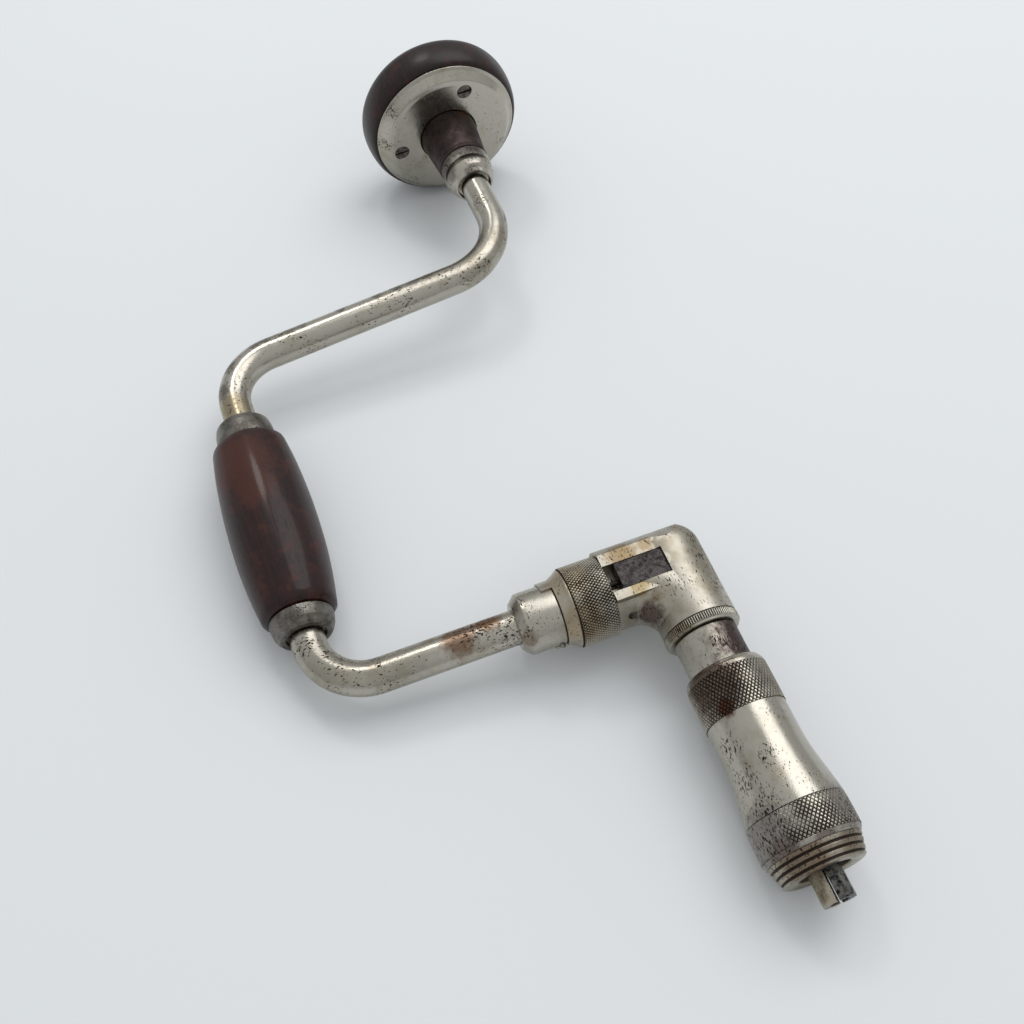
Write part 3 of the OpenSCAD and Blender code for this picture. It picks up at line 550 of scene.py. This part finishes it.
class BRACE_OT_head(bpy.types.Operator):
    """Turned wooden head with its metal plate and three screws"""
    bl_idname = "brace.head"
    bl_label = "Head"

    def execute(self, context):
        sizes = context.scene.brace_sizes
        widest = mm(sizes.head_width) / 2
        low, high = span("head_plate")
        edge, face, outer = low.x, high.x, high.y
        rim = edge * 0.59
        # The crown is fuller than an ellipse, whose power would be 1
        power = 2 / 2.68
        dome = [(rim - rim * max(math.cos(a), 0) ** power, widest * math.sin(a) ** power)
                for a in (math.pi / 2 * i / 40 for i in range(41))]
        dome[0] = (0, 0)
        lip = edge - 0.25
        seam = outer + 0.1
        under = [(rim + (lip - rim) * math.sin(a), seam + (widest - seam) * math.cos(a))
                 for a in (math.pi / 2 * i / 16 for i in range(1, 17))]
        seat = edge + 3.2
        ledge = [(lip + 0.02, outer - 0.9), (seat, outer - 5.5), (seat, 0)]
        wood = polished_wood("dark_stained_turned_hardwood_head", linear("#2A120E"),
                             linear("#0F0807"))
        turned(dome + under + ledge, "head_knob_wood", "head", "head_knob", wood, "head_wood",
               steps=160, closed=False, bite=wavy(30, 0.12, 3), sharp=50)

        outline = eased([
            (edge + 0.06, outer - 0.5, 0.2), (edge + 0.06, outer, 0.3),
            (edge + 0.55, outer - 0.02, 0.5), (edge + 1.1, outer - 1.4, 1.0),
            (face - 0.35, outer - 4.2, 1.5), (face - 0.02, outer - 6.4, 2.0),
            (face, HUB + 3, 0.1), (face - 0.05, HUB + 0.5, 0.1), (face - 0.3, HUB + 0.15, 0.1),
            (face - 1.2, HUB + 0.15, 0.1), (face - 1.2, outer - 6.5, 0.1)], 5)
        plated = nickelled(
            "aged_nickel_plate_head", film=0.45, pits=0.4, rough=0.19, scored=(1.0, 0.7, 0.7),
            spots=[(27.5, -24, 19, 5), (27, -30, 3, 6), (28, -20, -22, 7), (28, 26, -12, 6)])
        plate = turned(outline, "head_plate_nickel", "head", "head_plate", plated,
                       "nickel_plate", steps=160, bite=wavy(12, 0.03, 8))
        cut_countersinks(plate, face)
        dress(browned("dark_steel_wood_screws", 0.38), "head_plate_screws")
        return {"FINISHED"}


def cut_countersinks(plate, face):
    """Sinks the three screws' cones into the plate"""
    circle, top, shank, first_screw = 22.8, 3.35, 1.6, 66.6
    cone = [(face - 3, 0), (face - 3, shank), (face - 1.9, shank), (face - 0.35, top - 0.1),
            (face + 0.05, top + 0.15), (face + 1, top + 0.2), (face + 1, 0)]
    cutters = Shape()
    for i in range(3):
        centre = about_brace(0, circle, math.radians(first_screw + 120 * i))
        cutters.turn(cone, lambda s, r, a, c=centre: about_brace(s, r, a) + c, 40)
    cutter = cutters.lay("cutters")
    cut = plate.modifiers.new("countersinks", "BOOLEAN")
    cut.object = cutter
    cut.solver = "EXACT"
    bake_modifiers(plate)
    bpy.data.objects.remove(cutter)
    plate.data.set_sharp_from_angle(angle=math.radians(SHARP))


def bake_modifiers(piece):
    """Applies a piece's modifiers to its mesh"""
    graph = bpy.context.evaluated_depsgraph_get()
    graph.update()
    mesh = bpy.data.meshes.new_from_object(piece.evaluated_get(graph))
    piece.modifiers.clear()
    piece.data = mesh


class BRACE_OT_quill(bpy.types.Operator):
    """Dark sleeve under the head, its bearing and the collar on the rod"""
    bl_idname = "brace.quill"
    bl_label = "Quill"

    def execute(self, context):
        face = ends("head_plate")[1]
        end = ends("quill_sleeve")[1]
        bore = 6.3
        outline = eased([
            (face - 1, bore), (face - 1, HUB), (face + 0.4, HUB, 0.3),
            (face + 1.4, 12.95, 0.5), (end - 5, 11.55, 1.0), (end - 2.1, 11.3, 0.2),
            (end - 1.9, 11.12, 0.1), (end - 1.5, 11.12, 0.1), (end - 1.3, 11.35, 0.1),
            (end - 0.35, 11.3, 0.2), (end, 10.9, 0.1), (end, bore, 0.05)], 3)
        blued = browned("blackened_steel_sleeve", 0.38, 4.0, [(30, 7, 10, 3)],
                        ("#463C3A", "#362E2D"))
        turned(outline, "quill_sleeve_steel", "head", "quill_sleeve", blued, "dark_steel",
               bite=wavy(9, 0.015, 5))

        start, stop = ends("quill_collar")
        bead = start + 6.0
        outline = eased([
            (start, BORE), (start, 11.1, 0.35), (start + 5.0, 11.1, 0.45),
            (start + 5.05, 9.75, 0.15), (bead + 0.05, 9.7, 0.15), (bead + 0.1, 10.5, 0.5),
            (bead + 1.6, 10.75, 1.0), (bead + 4.0, 10.1, 1.2), (bead + 5.5, 8.9, 0.6),
            (stop - 0.25, 8.45, 0.3), (stop, 8.1, 0.25), (stop - 0.05, 7.6, 0.2),
            (stop - 2.0, 7.3, 0.3), (stop - 2.2, 6.1, 0.1)], 4)
        collar = nickelled(
            "aged_nickel_plate_collar", film=0.0, pits=0.9, rough=0.27,
            spots=[(53.5, 3, 10.5, 7), (54, -9, 6, 7), (59, 8, 6, 4)],
            stains=[(52, 2, 12, 9, "#5C5652", 0.9), (52, -10, 4, 7, "#5C5652", 0.9),
                # The last stain is a painted shade where the collar's mouth meets the rod
                (59, -9, 5, 4, "#66605C", 0.7), (65, 0, 8, 4, "#4C4641", 0.8)])
        turned(outline, "quill_collar_nickel", "base", "quill_collar", collar, "nickel_plate",
               bite=wavy(8, 0.012, 2))
        dress(browned("oiled_bearing_steel", 0.25), "head_bearing_balls", "head_nut")
        return {"FINISHED"}


class BRACE_OT_rod(bpy.types.Operator):
    """The bent rod from the head to the elbow"""
    bl_idname = "brace.rod"
    bl_label = "Rod"

    def execute(self, context):
        sizes = context.scene.brace_sizes
        radius = mm(sizes.rod_width) / 2
        start = ends("frame")[0]
        stop = ends("arm_boss", 1)[1]
        upper, crank = mm(sizes.upper_corner), mm(sizes.crank_corner)
        corners = [(start, 0), (upper, 0, mm(sizes.upper_bend)),
                   (crank, -THROW, mm(sizes.crank_bend)),
                   (ARM_AT, -THROW, mm(sizes.lower_bend)), (ARM_AT, stop)]
        path = bent_path(corners)
        # Dark streaks run along the top of the slanting arm
        streaks = [(upper + (upper - crank) * y / THROW - 2.8, y, 5.5, size, "#5A5148", 0.6)
                   for y, size in ((-113, 3.4), (-108, 2.6), (-98, 3.2), (-93, 2.6), (-76, 2.0),
                                   (-60, 2.6), (-51, 3.0), (-44, 3.6), (-38, 2.8))]
        brown, yellow, grey, dark, dull = "#6B4A30", "#8E7B52", "#8A8272", "#5A5249", "#8E887C"
        rod = nickelled(
            "aged_nickel_plate_rod", film=0.6, pits=0.7, rough=0.18, scored=(1.0, 0.5, 1.0),
            pit=0.7,
            spots=[(104, 4, 4, 9), (117, -12, 5, 10), (109, -32, 4, 8), (112, -52, 4, 9),
                (114, -76, 4, 8), (118, -104, 4, 9), (127, -125, 4, 9), (270, -73, 5, 10),
                (275, -62, 3, 9), (262, -108, 5, 12), (80, -3, 5, 8), (92, 5, 3, 8),
                (268, -98, 5, 4), (262, -122, 4, 5), (106, -20, 5, 6), (269, -108, 3, 7),
                (266, -120, 3, 8), (256, -128, 4, 7)],
            stains=[(150, -128, 6, 9, yellow, 0.6), (268, -68, 6, 6, brown, 0.9),
                (272, -79, 4, 7, brown, 0.8), (266, -88, 5, 4, brown, 0.7),
                (106, 2, 5, 10, grey, 0.5), (118, -14, 4, 10, grey, 0.5),
                (127, -126, 5, 4, dark, 0.7), (139, -131, 5, 4, dark, 0.7),
                (266, -100, 4, 16, dull, 0.5), (262, -120, 4, 12, dull, 0.5), *streaks])
        shape = Shape().sweep(path, radius)
        shape.build("bent_rod_nickel", "base", "frame", rod, "nickel_plate", 60)
        return {"FINISHED"}


def bent_path(corners, bend_step=1.2):
    """A path of straights and true arcs through the corners, in the crank's plane"""
    path = [Vector(corners[0][:2])]
    for before, here, after in zip(corners, corners[1:], corners[2:]):
        corner = Vector(here[:2])
        back = (Vector(before[:2]) - corner).normalized()
        ahead = (Vector(after[:2]) - corner).normalized()
        half = back.angle(ahead) / 2
        reach = here[2] / math.tan(half)
        start = corner + back * reach
        centre = corner + (back + ahead).normalized() * here[2] / math.sin(half)
        arm = start - centre
        turn = math.pi - 2 * half
        turn *= 1 if back.x * ahead.y - back.y * ahead.x < 0 else -1
        fill_straight(path, start)
        count = max(int(abs(turn) * here[2] / bend_step), 6)
        for i in range(1, count + 1):
            path.append(centre + Matrix.Rotation(turn * i / count, 2) @ arm)
    fill_straight(path, Vector(corners[-1][:2]))
    return path


def fill_straight(path, end, step=2.0):
    """Carries a path on to an end in even steps"""
    first = path[-1].copy()
    count = max(int((end - first).length / step), 1)
    for i in range(1, count + 1):
        path.append(first.lerp(end, i / count))


class BRACE_OT_handle(bpy.types.Operator):
    """Wooden grip and the metal ring at each of its ends"""
    bl_idname = "brace.handle"
    bl_label = "Handle"

    def execute(self, context):
        sizes = context.scene.brace_sizes
        colours = context.scene.brace_colours
        start, end = ends("handle_grip")
        middle = (start + end) / 2
        half = (end - start) / 2
        widest = mm(sizes.grip_width) / 2
        bulge = []
        for i in range(33):
            share = (-1 + 2 * i / 32) * 0.955
            drop = 2.75 if share < 0 else 3.35
            bulge.append(Vector((middle + share * half, widest - drop * abs(share) ** 2.2)))
        outline = eased([(start, 6.6), (start, 11.3, 0.5), (start + 0.5, 12.9, 0.6)]) + bulge \
            + eased([(end - 0.8, 12.7), (end - 0.25, 11.9, 0.5), (end, 10.9, 0.5), (end, 6.6)])
        # The spots paint a lighter red-brown on the grip's upper side: partly a painted sheen,
        # partly rubbed wear
        wood = polished_wood("dark_stained_turned_hardwood_grip", colours.wood,
                             colours.wood_dark, 0.45, 0.16, spots=[
                                 (180, -THROW - 4, 12, 14), (194, -THROW - 1, 15, 9)])
        turned(outline, "handle_grip_wood", "grip", "handle_grip", wood, "grip_wood",
               about_handle, 128, bite=wavy(16, 0.12, 1), sharp=50)

        grey = browned("pitted_steel_end_rings", 0.34, tones=("#7C7872", "#57524C"))
        start, end = ends("upper_ferrule")
        outline = eased([
            (start + 1.2, BORE), (start + 0.9, 7.3, 0.3), (start, 7.7, 0.25), (start, 9.2, 0.5),
            (start + 0.9, 10.3, 0.8), (start + 3.2, 10.85, 1.5), (start + 6.5, 11.2, 1.5),
            (end - 0.1, 11.25, 0.3), (end, 10.6, 0.2), (end, BORE, 0.1)], 4)
        turned(outline, "upper_ferrule_steel", "base", "upper_ferrule", grey, "worn_steel",
               about_handle, bite=wavy(6, 0.03, 9))
        start, end = ends("lower_ferrule")
        outline = eased([
            (start, BORE), (start, 10.9, 0.2), (start + 0.15, 11.45, 0.3),
            (start + 2.4, 11.4, 1.5), (start + 4.6, 10.95, 1.6), (start + 6.5, 10.0, 1.2),
            (end - 0.05, 9.2, 0.35), (end, 7.3, 0.25), (end - 1.4, 7.15, 0.3),
            (end - 1.5, BORE, 0.1)], 4)
        turned(outline, "lower_ferrule_steel", "base", "lower_ferrule", grey, "worn_steel",
               about_handle, bite=wavy(6, 0.03, 4))
        return {"FINISHED"}


class BRACE_OT_selector(bpy.types.Operator):
    """Boss on the arm, knurled selector ring with its hook, and the stop pin"""
    bl_idname = "brace.selector"
    bl_label = "Selector"

    def execute(self, context):
        sizes = context.scene.brace_sizes
        start, end = ends("arm_boss", 1)
        outline = eased([
            (start, 6.2), (start, 8.3, 0.3), (start + 2.7, 10.9, 0.8), (start + 4, 11.0, 1.0),
            (end - 0.1, 11.0, 0.3), (end, 10.6, 0.2), (end, 6.2, 0.1)], 4)
        boss = nickelled(
            "aged_nickel_plate_boss", film=0.5, pits=0.6, rough=0.25,
            spots=[(ARM_AT - 4, -56.5, 10, 4), (ARM_AT + 7, -57, 8, 5)],
            stains=[(ARM_AT + 9, -57.5, 6, 4, "#6B5442", 0.6),
                (ARM_AT - 2, -60, 9, 2.5, "#6B5442", 0.6)])
        turned(outline, "arm_boss_nickel", "base", "arm_boss", boss, "nickel_plate", about_arm,
               bite=wavy(8, 0.012, 7))

        hook_end, face = ends("selector_ring", 1)
        rear = hook_end + 4.0
        knurl_start = hook_end + 8.5
        radius = mm(sizes.ring_width) / 2
        depth = mm(sizes.knurl_depth) * 1.25
        valley = radius - depth - 0.02

        # Zero paints shade on the turned surface under the knurl band
        def under_knurl(station, angle):
            return 0.0 if knurl_start - 0.3 < station < face - 0.2 else 1.0

        outline = eased([
            (face - 0.15, 9.6), (face - 0.02, radius - 0.9, 0.2), (face - 0.3, valley, 0.1),
            (knurl_start + 0.2, valley, 0.05), (knurl_start, radius - 0.5, 0.15),
            (knurl_start - 0.5, radius - 0.45, 0.2), (knurl_start - 1.5, radius - 1.2, 0.6),
            (rear + 0.7, 12.0, 0.9), (rear, 11.75, 0.15), (rear, 9.6, 0.1)], 3)
        shape = Shape().turn(outline, about_arm, 128, closed=True, shade=under_knurl)
        shape.knurl(about_arm, lambda s: radius, knurl_start + 0.35, face - 0.35, around=76,
                    rows=8, depth=depth, wear=speckled_wear(0.15, 5))

        hook = eased([
            (rear + 0.2, 11.05), (hook_end + 0.1, 11.08, 0.15), (hook_end, 11.75, 0.25),
            (rear + 0.2, 11.8)], 3)
        hook_from, hook_to = math.radians(110), math.radians(336)
        shape.turn(hook, about_arm, 96, closed=True, arc=(hook_from, hook_to))
        ring = nickelled(
            "half_worn_nickel_selector", film=0.6, pits=0.3, rough=0.28, grooves=True,
            stains=[(ARM_AT - 5, -38, 13, 9, "#A8987C", 0.6),
                (ARM_AT + 10, -38, 8, 9, "#96805C", 0.6),
                (ARM_AT + 3, -47, 12, 3, "#77655A", 0.7)])
        shape.build("selector_ring_steel", "selector", "selector_ring", ring, "worn_steel")
        dress(browned("rubbed_steel_pin", 0.2, tones=("#A09B93", "#5A544D")), "stop_pin")
        return {"FINISHED"}


def speckled_wear(amount, seed, clear=None):
    """How much the diamonds are worn down, from place to place; least at the clear angle"""
    def wear(station, angle):
        spot = Vector((station / 4, 3 * math.cos(angle) + seed, 3 * math.sin(angle)))
        value = amount + 0.6 * noise.noise(spot)
        if clear is not None:
            value += 2.2 * (1 - math.cos(angle - clear))
        return min(max(value, 0.0), 1.0)
    return wear


class BRACE_OT_ratchet(bpy.types.Operator):
    """Elbow with its pawls and rivet, the milled bearing cap and the wheel inside"""
    bl_idname = "brace.ratchet"
    bl_label = "Ratchet"

    def execute(self, context):
        sizes = context.scene.brace_sizes
        elbow = nickelled(
            "aged_nickel_plate_elbow", film=1.0, pits=0.6, rough=0.34,
            spots=[(ARM_AT + 8, -4, 10, 4.5), (ARM_AT + 2, 9, 11, 6), (ARM_AT - 6, 9, 9, 6),
                (ARM_AT + 14, 8, 8, 7), (ARM_AT + 5, 12, 3, 7)],
            stains=[(ARM_AT - 7, -17, 12.4, 6, "#8A7048", 0.6),
                (ARM_AT - 8, -8, 12.4, 3, "#8A7048", 0.6),
                (ARM_AT + 6.5, -16, 11, 4, "#9A8556", 0.7),
                (ARM_AT + 10, -11, 8, 4, "#7C6849", 0.7),
                (ARM_AT + 13.5, -14, 4, 6.0, "#54443E", 0.9),
                # The two #8D8678 stains on the upper side are partly a darker tarnish and partly
                # a painted shade that dims the highlight there
                (ARM_AT + 4, 10, 9, 9, "#8D8678", 0.7), (ARM_AT - 12, 8, 6, 8, "#8D8678", 0.7),
                (ARM_AT - 3, 12, 10, 5, "#7D7362", 0.6)])
        dress(elbow, "ratchet_housing")
        black = browned("blackened_steel_pawls", 0.42, 1.6, tones=("#4B4746", "#33302F"))
        dress(black, "pawl_front", "pawl_rear")
        small = browned("dark_steel_small_parts", 0.35)
        dress(small, "ratchet_wheel", "pawl_spring_rear")
        # The front pawl squeezes its spring against the bottom of the bore
        low, high = span("pawl_spring_front")
        wire = 0.25
        foot = Vector((ARM_AT, low.y, (low.z + high.z) / 2))
        length = high.y - low.y
        spring = Shape().coil(foot, length, (high.x - low.x) / 2 - wire, wire, 7)
        spring = spring.build("pawl_spring_coil", "base", "pawl_spring_front", small,
                              "bare_steel", 60)
        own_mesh(spring)

        low, high = span("housing_rivet")
        middle = (low + high) / 2
        outward = Vector((middle.x - ARM_AT, 0, middle.z)).normalized()
        foot = Vector((ARM_AT, middle.y, 0))
        barrel = 13.3

        def about_rivet(station, radius, angle):
            """A turned point about the rivet, out from the arm's middle"""
            side = outward.cross(Vector((0, 1, 0)))
            return foot + outward * station + side * radius * math.cos(angle) \
                + Vector((0, radius * math.sin(angle), 0))

        outline = eased([
            (barrel - 4, 0), (barrel - 4, 1.15), (barrel - 0.12, 1.15, 0.05),
            (barrel - 0.12, 1.65, 0.05), (barrel + 0.12, 1.5, 0.15),
            (barrel + 0.08, 1.05, 0.15), (barrel - 0.25, 0.8, 0.1), (barrel - 0.1, 0)], 3)
        turned(outline, "housing_rivet_steel", "base", "housing_rivet", small, "worn_steel",
               about_rivet, 40, closed=False)

        end = ends("bearing_cap")[1]
        start = end - 3.6
        teeth = sizes.cap_teeth

        def tooth(station, angle):
            """One on a tooth's land and at both faces, zero between two teeth, where the cap is
            milled and shade is painted
            """
            if not start + 0.35 < station < end - 1.0:
                return 1.0
            return 0.5 + 0.5 * min(max(1.6 * math.cos(teeth * angle) - 0.1, -1), 1)

        def milled(station, angle):
            return 0.4 * tooth(station, angle) - 0.38

        outline = eased([
            (start - 7, 9.0), (start - 7, 10.85, 0.2), (start, 10.85, 0.1), (start, 13.2, 0.15),
            (start + 0.3, 13.45, 0.1)], 2) \
            + [Vector((start + 0.4, 13.5)), Vector((end - 1.1, 13.5))] \
            + eased([
                (end - 0.95, 13.4), (end - 0.85, 12.9, 0.15), (end, 12.75, 0.3),
                (end, 9.0, 0.1)], 3)
        cap = nickelled(
            "tarnished_nickel_cap", pits=0.4, rough=0.27, grooves=True,
            stains=[(end, -10, 8, 7, "#6E6048", 0.7)])
        turned(outline, "bearing_cap_milled", "base", "bearing_cap", cap, "nickel_plate",
               steps=teeth * 6, bite=milled, shade=tooth, sharp=45)
        return {"FINISHED"}


class BRACE_OT_chuck(bpy.types.Operator):
    """Spindle neck, knurled shell, nose and the two jaws"""
    bl_idname = "brace.chuck"
    bl_label = "Chuck"

    def execute(self, context):
        sizes = context.scene.brace_sizes
        cap_end = ends("bearing_cap")[1]
        rim, end = ends("chuck_shell")
        outline = eased([
            (cap_end - 8, 0), (cap_end - 8, 8.9), (cap_end + 0.35, 8.9, 0.1),
            (cap_end + 0.4, 11.3, 0.25), (cap_end + 3, 11.15, 3.0), (cap_end + 8, 11.1, 3.0),
            (rim + 2.6, 11.2, 0.2), (rim + 3, 10.4, 0.1), (rim + 28, 10.4), (rim + 28, 6.6),
            (rim + 13, 6.6), (rim + 13, 0)], 4)
        middle = (cap_end + rim) / 2
        neck = nickelled(
            "half_tarnished_nickel_neck", pits=0.6, rough=0.26,
            spots=[(middle, 0, 11, 5)],
            stains=[(middle, 17, 4, 22.0, "#4F4340", 1.0),
                (middle, 9, -9, 12, "#453B38", 0.95)])
        turned(outline, "spindle_neck_steel", "spindle", "spindle", neck, "worn_steel",
               closed=False, bite=wavy(7, 0.015, 6))

        band_radius = mm(sizes.shell_width) / 2
        waist = band_radius - 0.3
        swell = mm(sizes.swell_width) / 2
        depth = mm(sizes.knurl_depth)
        upper_start, upper_end = rim + 3.1, rim + 17.1
        lower_start, lower_end = rim + 50.8, rim + 61.6
        flare_from, flare_to, swell_to = rim + 28.5, rim + 55.5, rim + 60

        def surface(station):
            """The shell's smooth outer radius"""
            share = min(max((station - flare_from) / (flare_to - flare_from), 0), 1)
            radius = waist + (swell - waist) * share * share * (3 - 2 * share)
            return radius - 0.035 * max(station - swell_to, 0) ** 2

        sunk = depth + 0.02
        plain_start, plain_end = upper_end + 0.6, lower_start - 0.4
        flare = [Vector((station, surface(station))) for station in
                 (plain_start + (plain_end - plain_start) * i / 24 for i in range(25))]
        lower = [Vector((station, surface(station) - sunk)) for station in
                 (lower_start + (lower_end - lower_start) * i / 8 for i in range(9))]
        outline = eased([
            (rim + 0.1, 11.6), (rim, 12.7, 0.3), (rim + 0.3, 13.3, 0.4), (rim + 1.4, 13.6, 0.3),
            (rim + 1.6, 13.95, 0.25), (upper_start - 0.15, band_radius - 0.05, 0.1),
            (upper_start, band_radius - sunk, 0.05), (upper_end, band_radius - sunk, 0.05),
            (upper_end + 0.15, waist + 0.02)], 3) + flare + lower \
            + eased([
                (lower_end + 0.15, surface(lower_end) - 0.1), (end - 0.3, 16.1, 0.3),
                (end, 15.8, 0.1), (end, 12.0), (rim + 22, 12.0), (rim + 22, 10.5),
                (rim + 4, 10.5), (rim + 4, 11.6)], 3)
        shell = nickelled(
            "aged_nickel_plate_shell", film=0.5, pits=0.5, rough=0.16, grooves=True,
            spots=[(340, -12, 8, 8), (352, -12, 8, 10), (362, -11, 11, 10), (348, -3, 13, 6),
                (371, -14, 9, 12), (371, 13, 10, 11)],
            stains=[(320, -9, 11, 12, "#57463B", 0.85), (329, -8, 12, 3.5, "#5A3524", 0.9),
                (323, 12, 8, 8, "#75695F", 0.5), (371, -14, 9, 12, "#7F7874", 0.85),
                (371, 13, 10, 10, "#857E79", 0.8), (372, 0, 17, 7, "#938B86", 0.3),
                (378, 1, 16, 5, "#6B5F58", 0.7), (378, -12, 11, 7, "#6B5F58", 0.8),
                (372, 2, -17, 14, "#7A746F", 0.7)])
        shape = Shape().turn(outline, about_brace, 144, closed=True, bite=wavy(14, 0.02, 4))
        least_worn = math.radians(80)
        shape.knurl(about_brace, lambda s: band_radius, upper_start, upper_end, around=64,
                    rows=7, depth=depth, wear=speckled_wear(0.1, 2))
        shape.knurl(about_brace, surface, lower_start, lower_end, around=70, rows=6,
                    depth=depth, wear=speckled_wear(0.05, 9, least_worn))
        shape.build("chuck_shell_nickel", "shell", "chuck_shell", shell, "nickel_plate")

        nose_start, nose_end = ends("nose_ring")
        root = end + 0.1
        first, pitch = root + 1.3, 2.1
        root_radius, tip_radius = 15.75, 13.75
        outline = [(nose_start, 11.9), (root, 11.9), (root, 15.6)]
        taper = (root_radius - tip_radius) / (nose_end - root)
        for i in range(3):
            at = first + pitch * i
            radius = root_radius - taper * (at - root)
            outline += [(at - 0.1, radius + 0.05, 0.2), (at + 0.1, radius - 0.5, 0.1),
                        (at + 0.65, radius - 0.6, 0.1), (at + 0.85, radius - 0.15, 0.2)]
        outline += [(nose_end - 0.35, 13.85, 0.3), (nose_end, 13.3, 0.35),
                    (nose_end - 0.1, 9.1, 0.3), (nose_end - 0.5, 8.6, 0.2),
                    (nose_end - 22, 8.6), (nose_start, 10.9)]

        def off_groove(station, angle):
            """Zero, which paints shade, in one of the three grooves and one beside them"""
            return 0.0 if (station - first) % pitch < 0.7 and station > first - 0.05 else 1.0

        nose = nickelled(
            "tarnished_nickel_plate_nose", film=1.0, pits=0.9, rough=0.3, grooves=True,
            stains=[(nose_end - 4, -8, 13, 10, "#735F4D", 0.8),
                (nose_end - 5, 10, 11, 8, "#7A6A58", 0.7),
                (nose_end - 4, 0, -14, 12, "#5E4A3B", 0.6)])
        turned(eased(outline, 3), "nose_ring_nickel", "nose", "nose_ring", nose,
               "nickel_plate", steps=144, bite=wavy(6, 0.015, 3), shade=off_groove)

        dress(browned("worn_steel_jaw", 0.35, tones=("#A59D8C", "#6F6554")), "jaw_b")
        black = browned("pitted_black_steel_jaw", 0.36, 1.8, tones=("#6F6E6A", "#1E1D1C"))
        dress(black, "jaw_a")
        dress(browned("spring_steel_leaf", 0.3), "jaw_spring")
        return {"FINISHED"}


class BRACE_OT_stage(bpy.types.Operator):
    """Pale floor, soft light and the camera"""
    bl_idname = "brace.stage"
    bl_label = "Stage"

    def execute(self, context):
        scene = context.scene
        scene.view_settings.view_transform = "Standard"
        world = bpy.data.worlds.new("studio_air")
        scene.world = world
        world.use_nodes = True
        tree = world.node_tree
        tree.nodes.clear()
        where = add_node(tree, "TexCoord", {}, "Generated")
        upward = add_node(tree, "SeparateXYZ", {"Vector": where}, "Z")
        share = add_node(tree, "MapRange", {"Value": upward, "From Min": -0.1, "From Max": 0.9})
        sky = cover(tree, linear("#ADAFB0"), linear("#D0D2D3"), share)
        air = add_node(tree, "Background", {"Color": sky, "Strength": 1.08})
        add_node(tree, "OutputWorld", {"Surface": air})

        floor_mesh = bpy.data.meshes.new("floor")
        reach = 3.0
        floor_mesh.from_pydata([(-reach, -reach, 0), (reach, -reach, 0), (reach, reach, 0),
                                (-reach, reach, 0)], [], [(0, 1, 2, 3)])
        floor = bpy.data.objects.new("floor", floor_mesh)
        scene.collection.objects.link(floor)
        material = bpy.data.materials.new("matt_white_paper_floor")
        material.use_nodes = True
        shader = material.node_tree.nodes["Principled BSDF"]
        shader.inputs["Base Color"].default_value = (*linear("#E7EAEC"), 1.0)
        shader.inputs["Roughness"].default_value = 0.9
        shader.inputs["Specular IOR Level"].default_value = 0.2
        floor_mesh.materials.append(material)

        lamps = [("key_softbox", (-0.5, 0.75, 1.5), 1.4, 9.0),
                 ("window_softbox", (-0.95, -0.1, 1.25), 0.34, 2.4)]
        for name, spot, size, watts in lamps:
            lamp = bpy.data.lights.new(name, "AREA")
            lamp.energy = watts
            lamp.shape = "DISK"
            lamp.size = size
            holder = bpy.data.objects.new(name, lamp)
            holder.location = spot
            holder.rotation_euler = (-Vector(spot)).to_track_quat("-Z", "Y").to_euler()
            scene.collection.objects.link(holder)

        lens = bpy.data.cameras.new("camera")
        lens.lens = 39.976
        lens.clip_start = 0.01
        camera = bpy.data.objects.new("camera", lens)
        camera.location = (0.25564, -0.07862, 0.35953)
        camera.rotation_euler = [math.radians(a) for a in (35.4117, -0.7928, 69.4479)]
        scene.collection.objects.link(camera)
        scene.camera = camera
        return {"FINISHED"}


STEPS = (BRACE_OT_head, BRACE_OT_quill, BRACE_OT_rod, BRACE_OT_handle, BRACE_OT_selector,
         BRACE_OT_ratchet, BRACE_OT_chuck, BRACE_OT_stage)


class BRACE_PT_panel(bpy.types.Panel):
    """Sizes, colours and steps of the bit brace"""
    bl_idname = "BRACE_PT_panel"
    bl_label = "Bit brace"
    bl_space_type = "VIEW_3D"
    bl_region_type = "UI"
    bl_category = "Brace"

    def draw(self, context):
        for group in (context.scene.brace_sizes, context.scene.brace_colours):
            for name in group.__annotations__:
                self.layout.prop(group, name)
        for step in STEPS:
            self.layout.operator(step.bl_idname)


CLASSES = (BraceSizes, BraceColours, *STEPS, BRACE_PT_panel)


def register():
    for cls in CLASSES:
        bpy.utils.register_class(cls)
    bpy.types.Scene.brace_sizes = PointerProperty(type=BraceSizes)
    bpy.types.Scene.brace_colours = PointerProperty(type=BraceColours)


def unregister():
    del bpy.types.Scene.brace_colours
    del bpy.types.Scene.brace_sizes
    for cls in reversed(CLASSES):
        bpy.utils.unregister_class(cls)


def main():
    register()
    for step in STEPS:
        group, name = step.bl_idname.split(".")
        getattr(getattr(bpy.ops, group), name)()


if __name__ == "__main__":
    main()
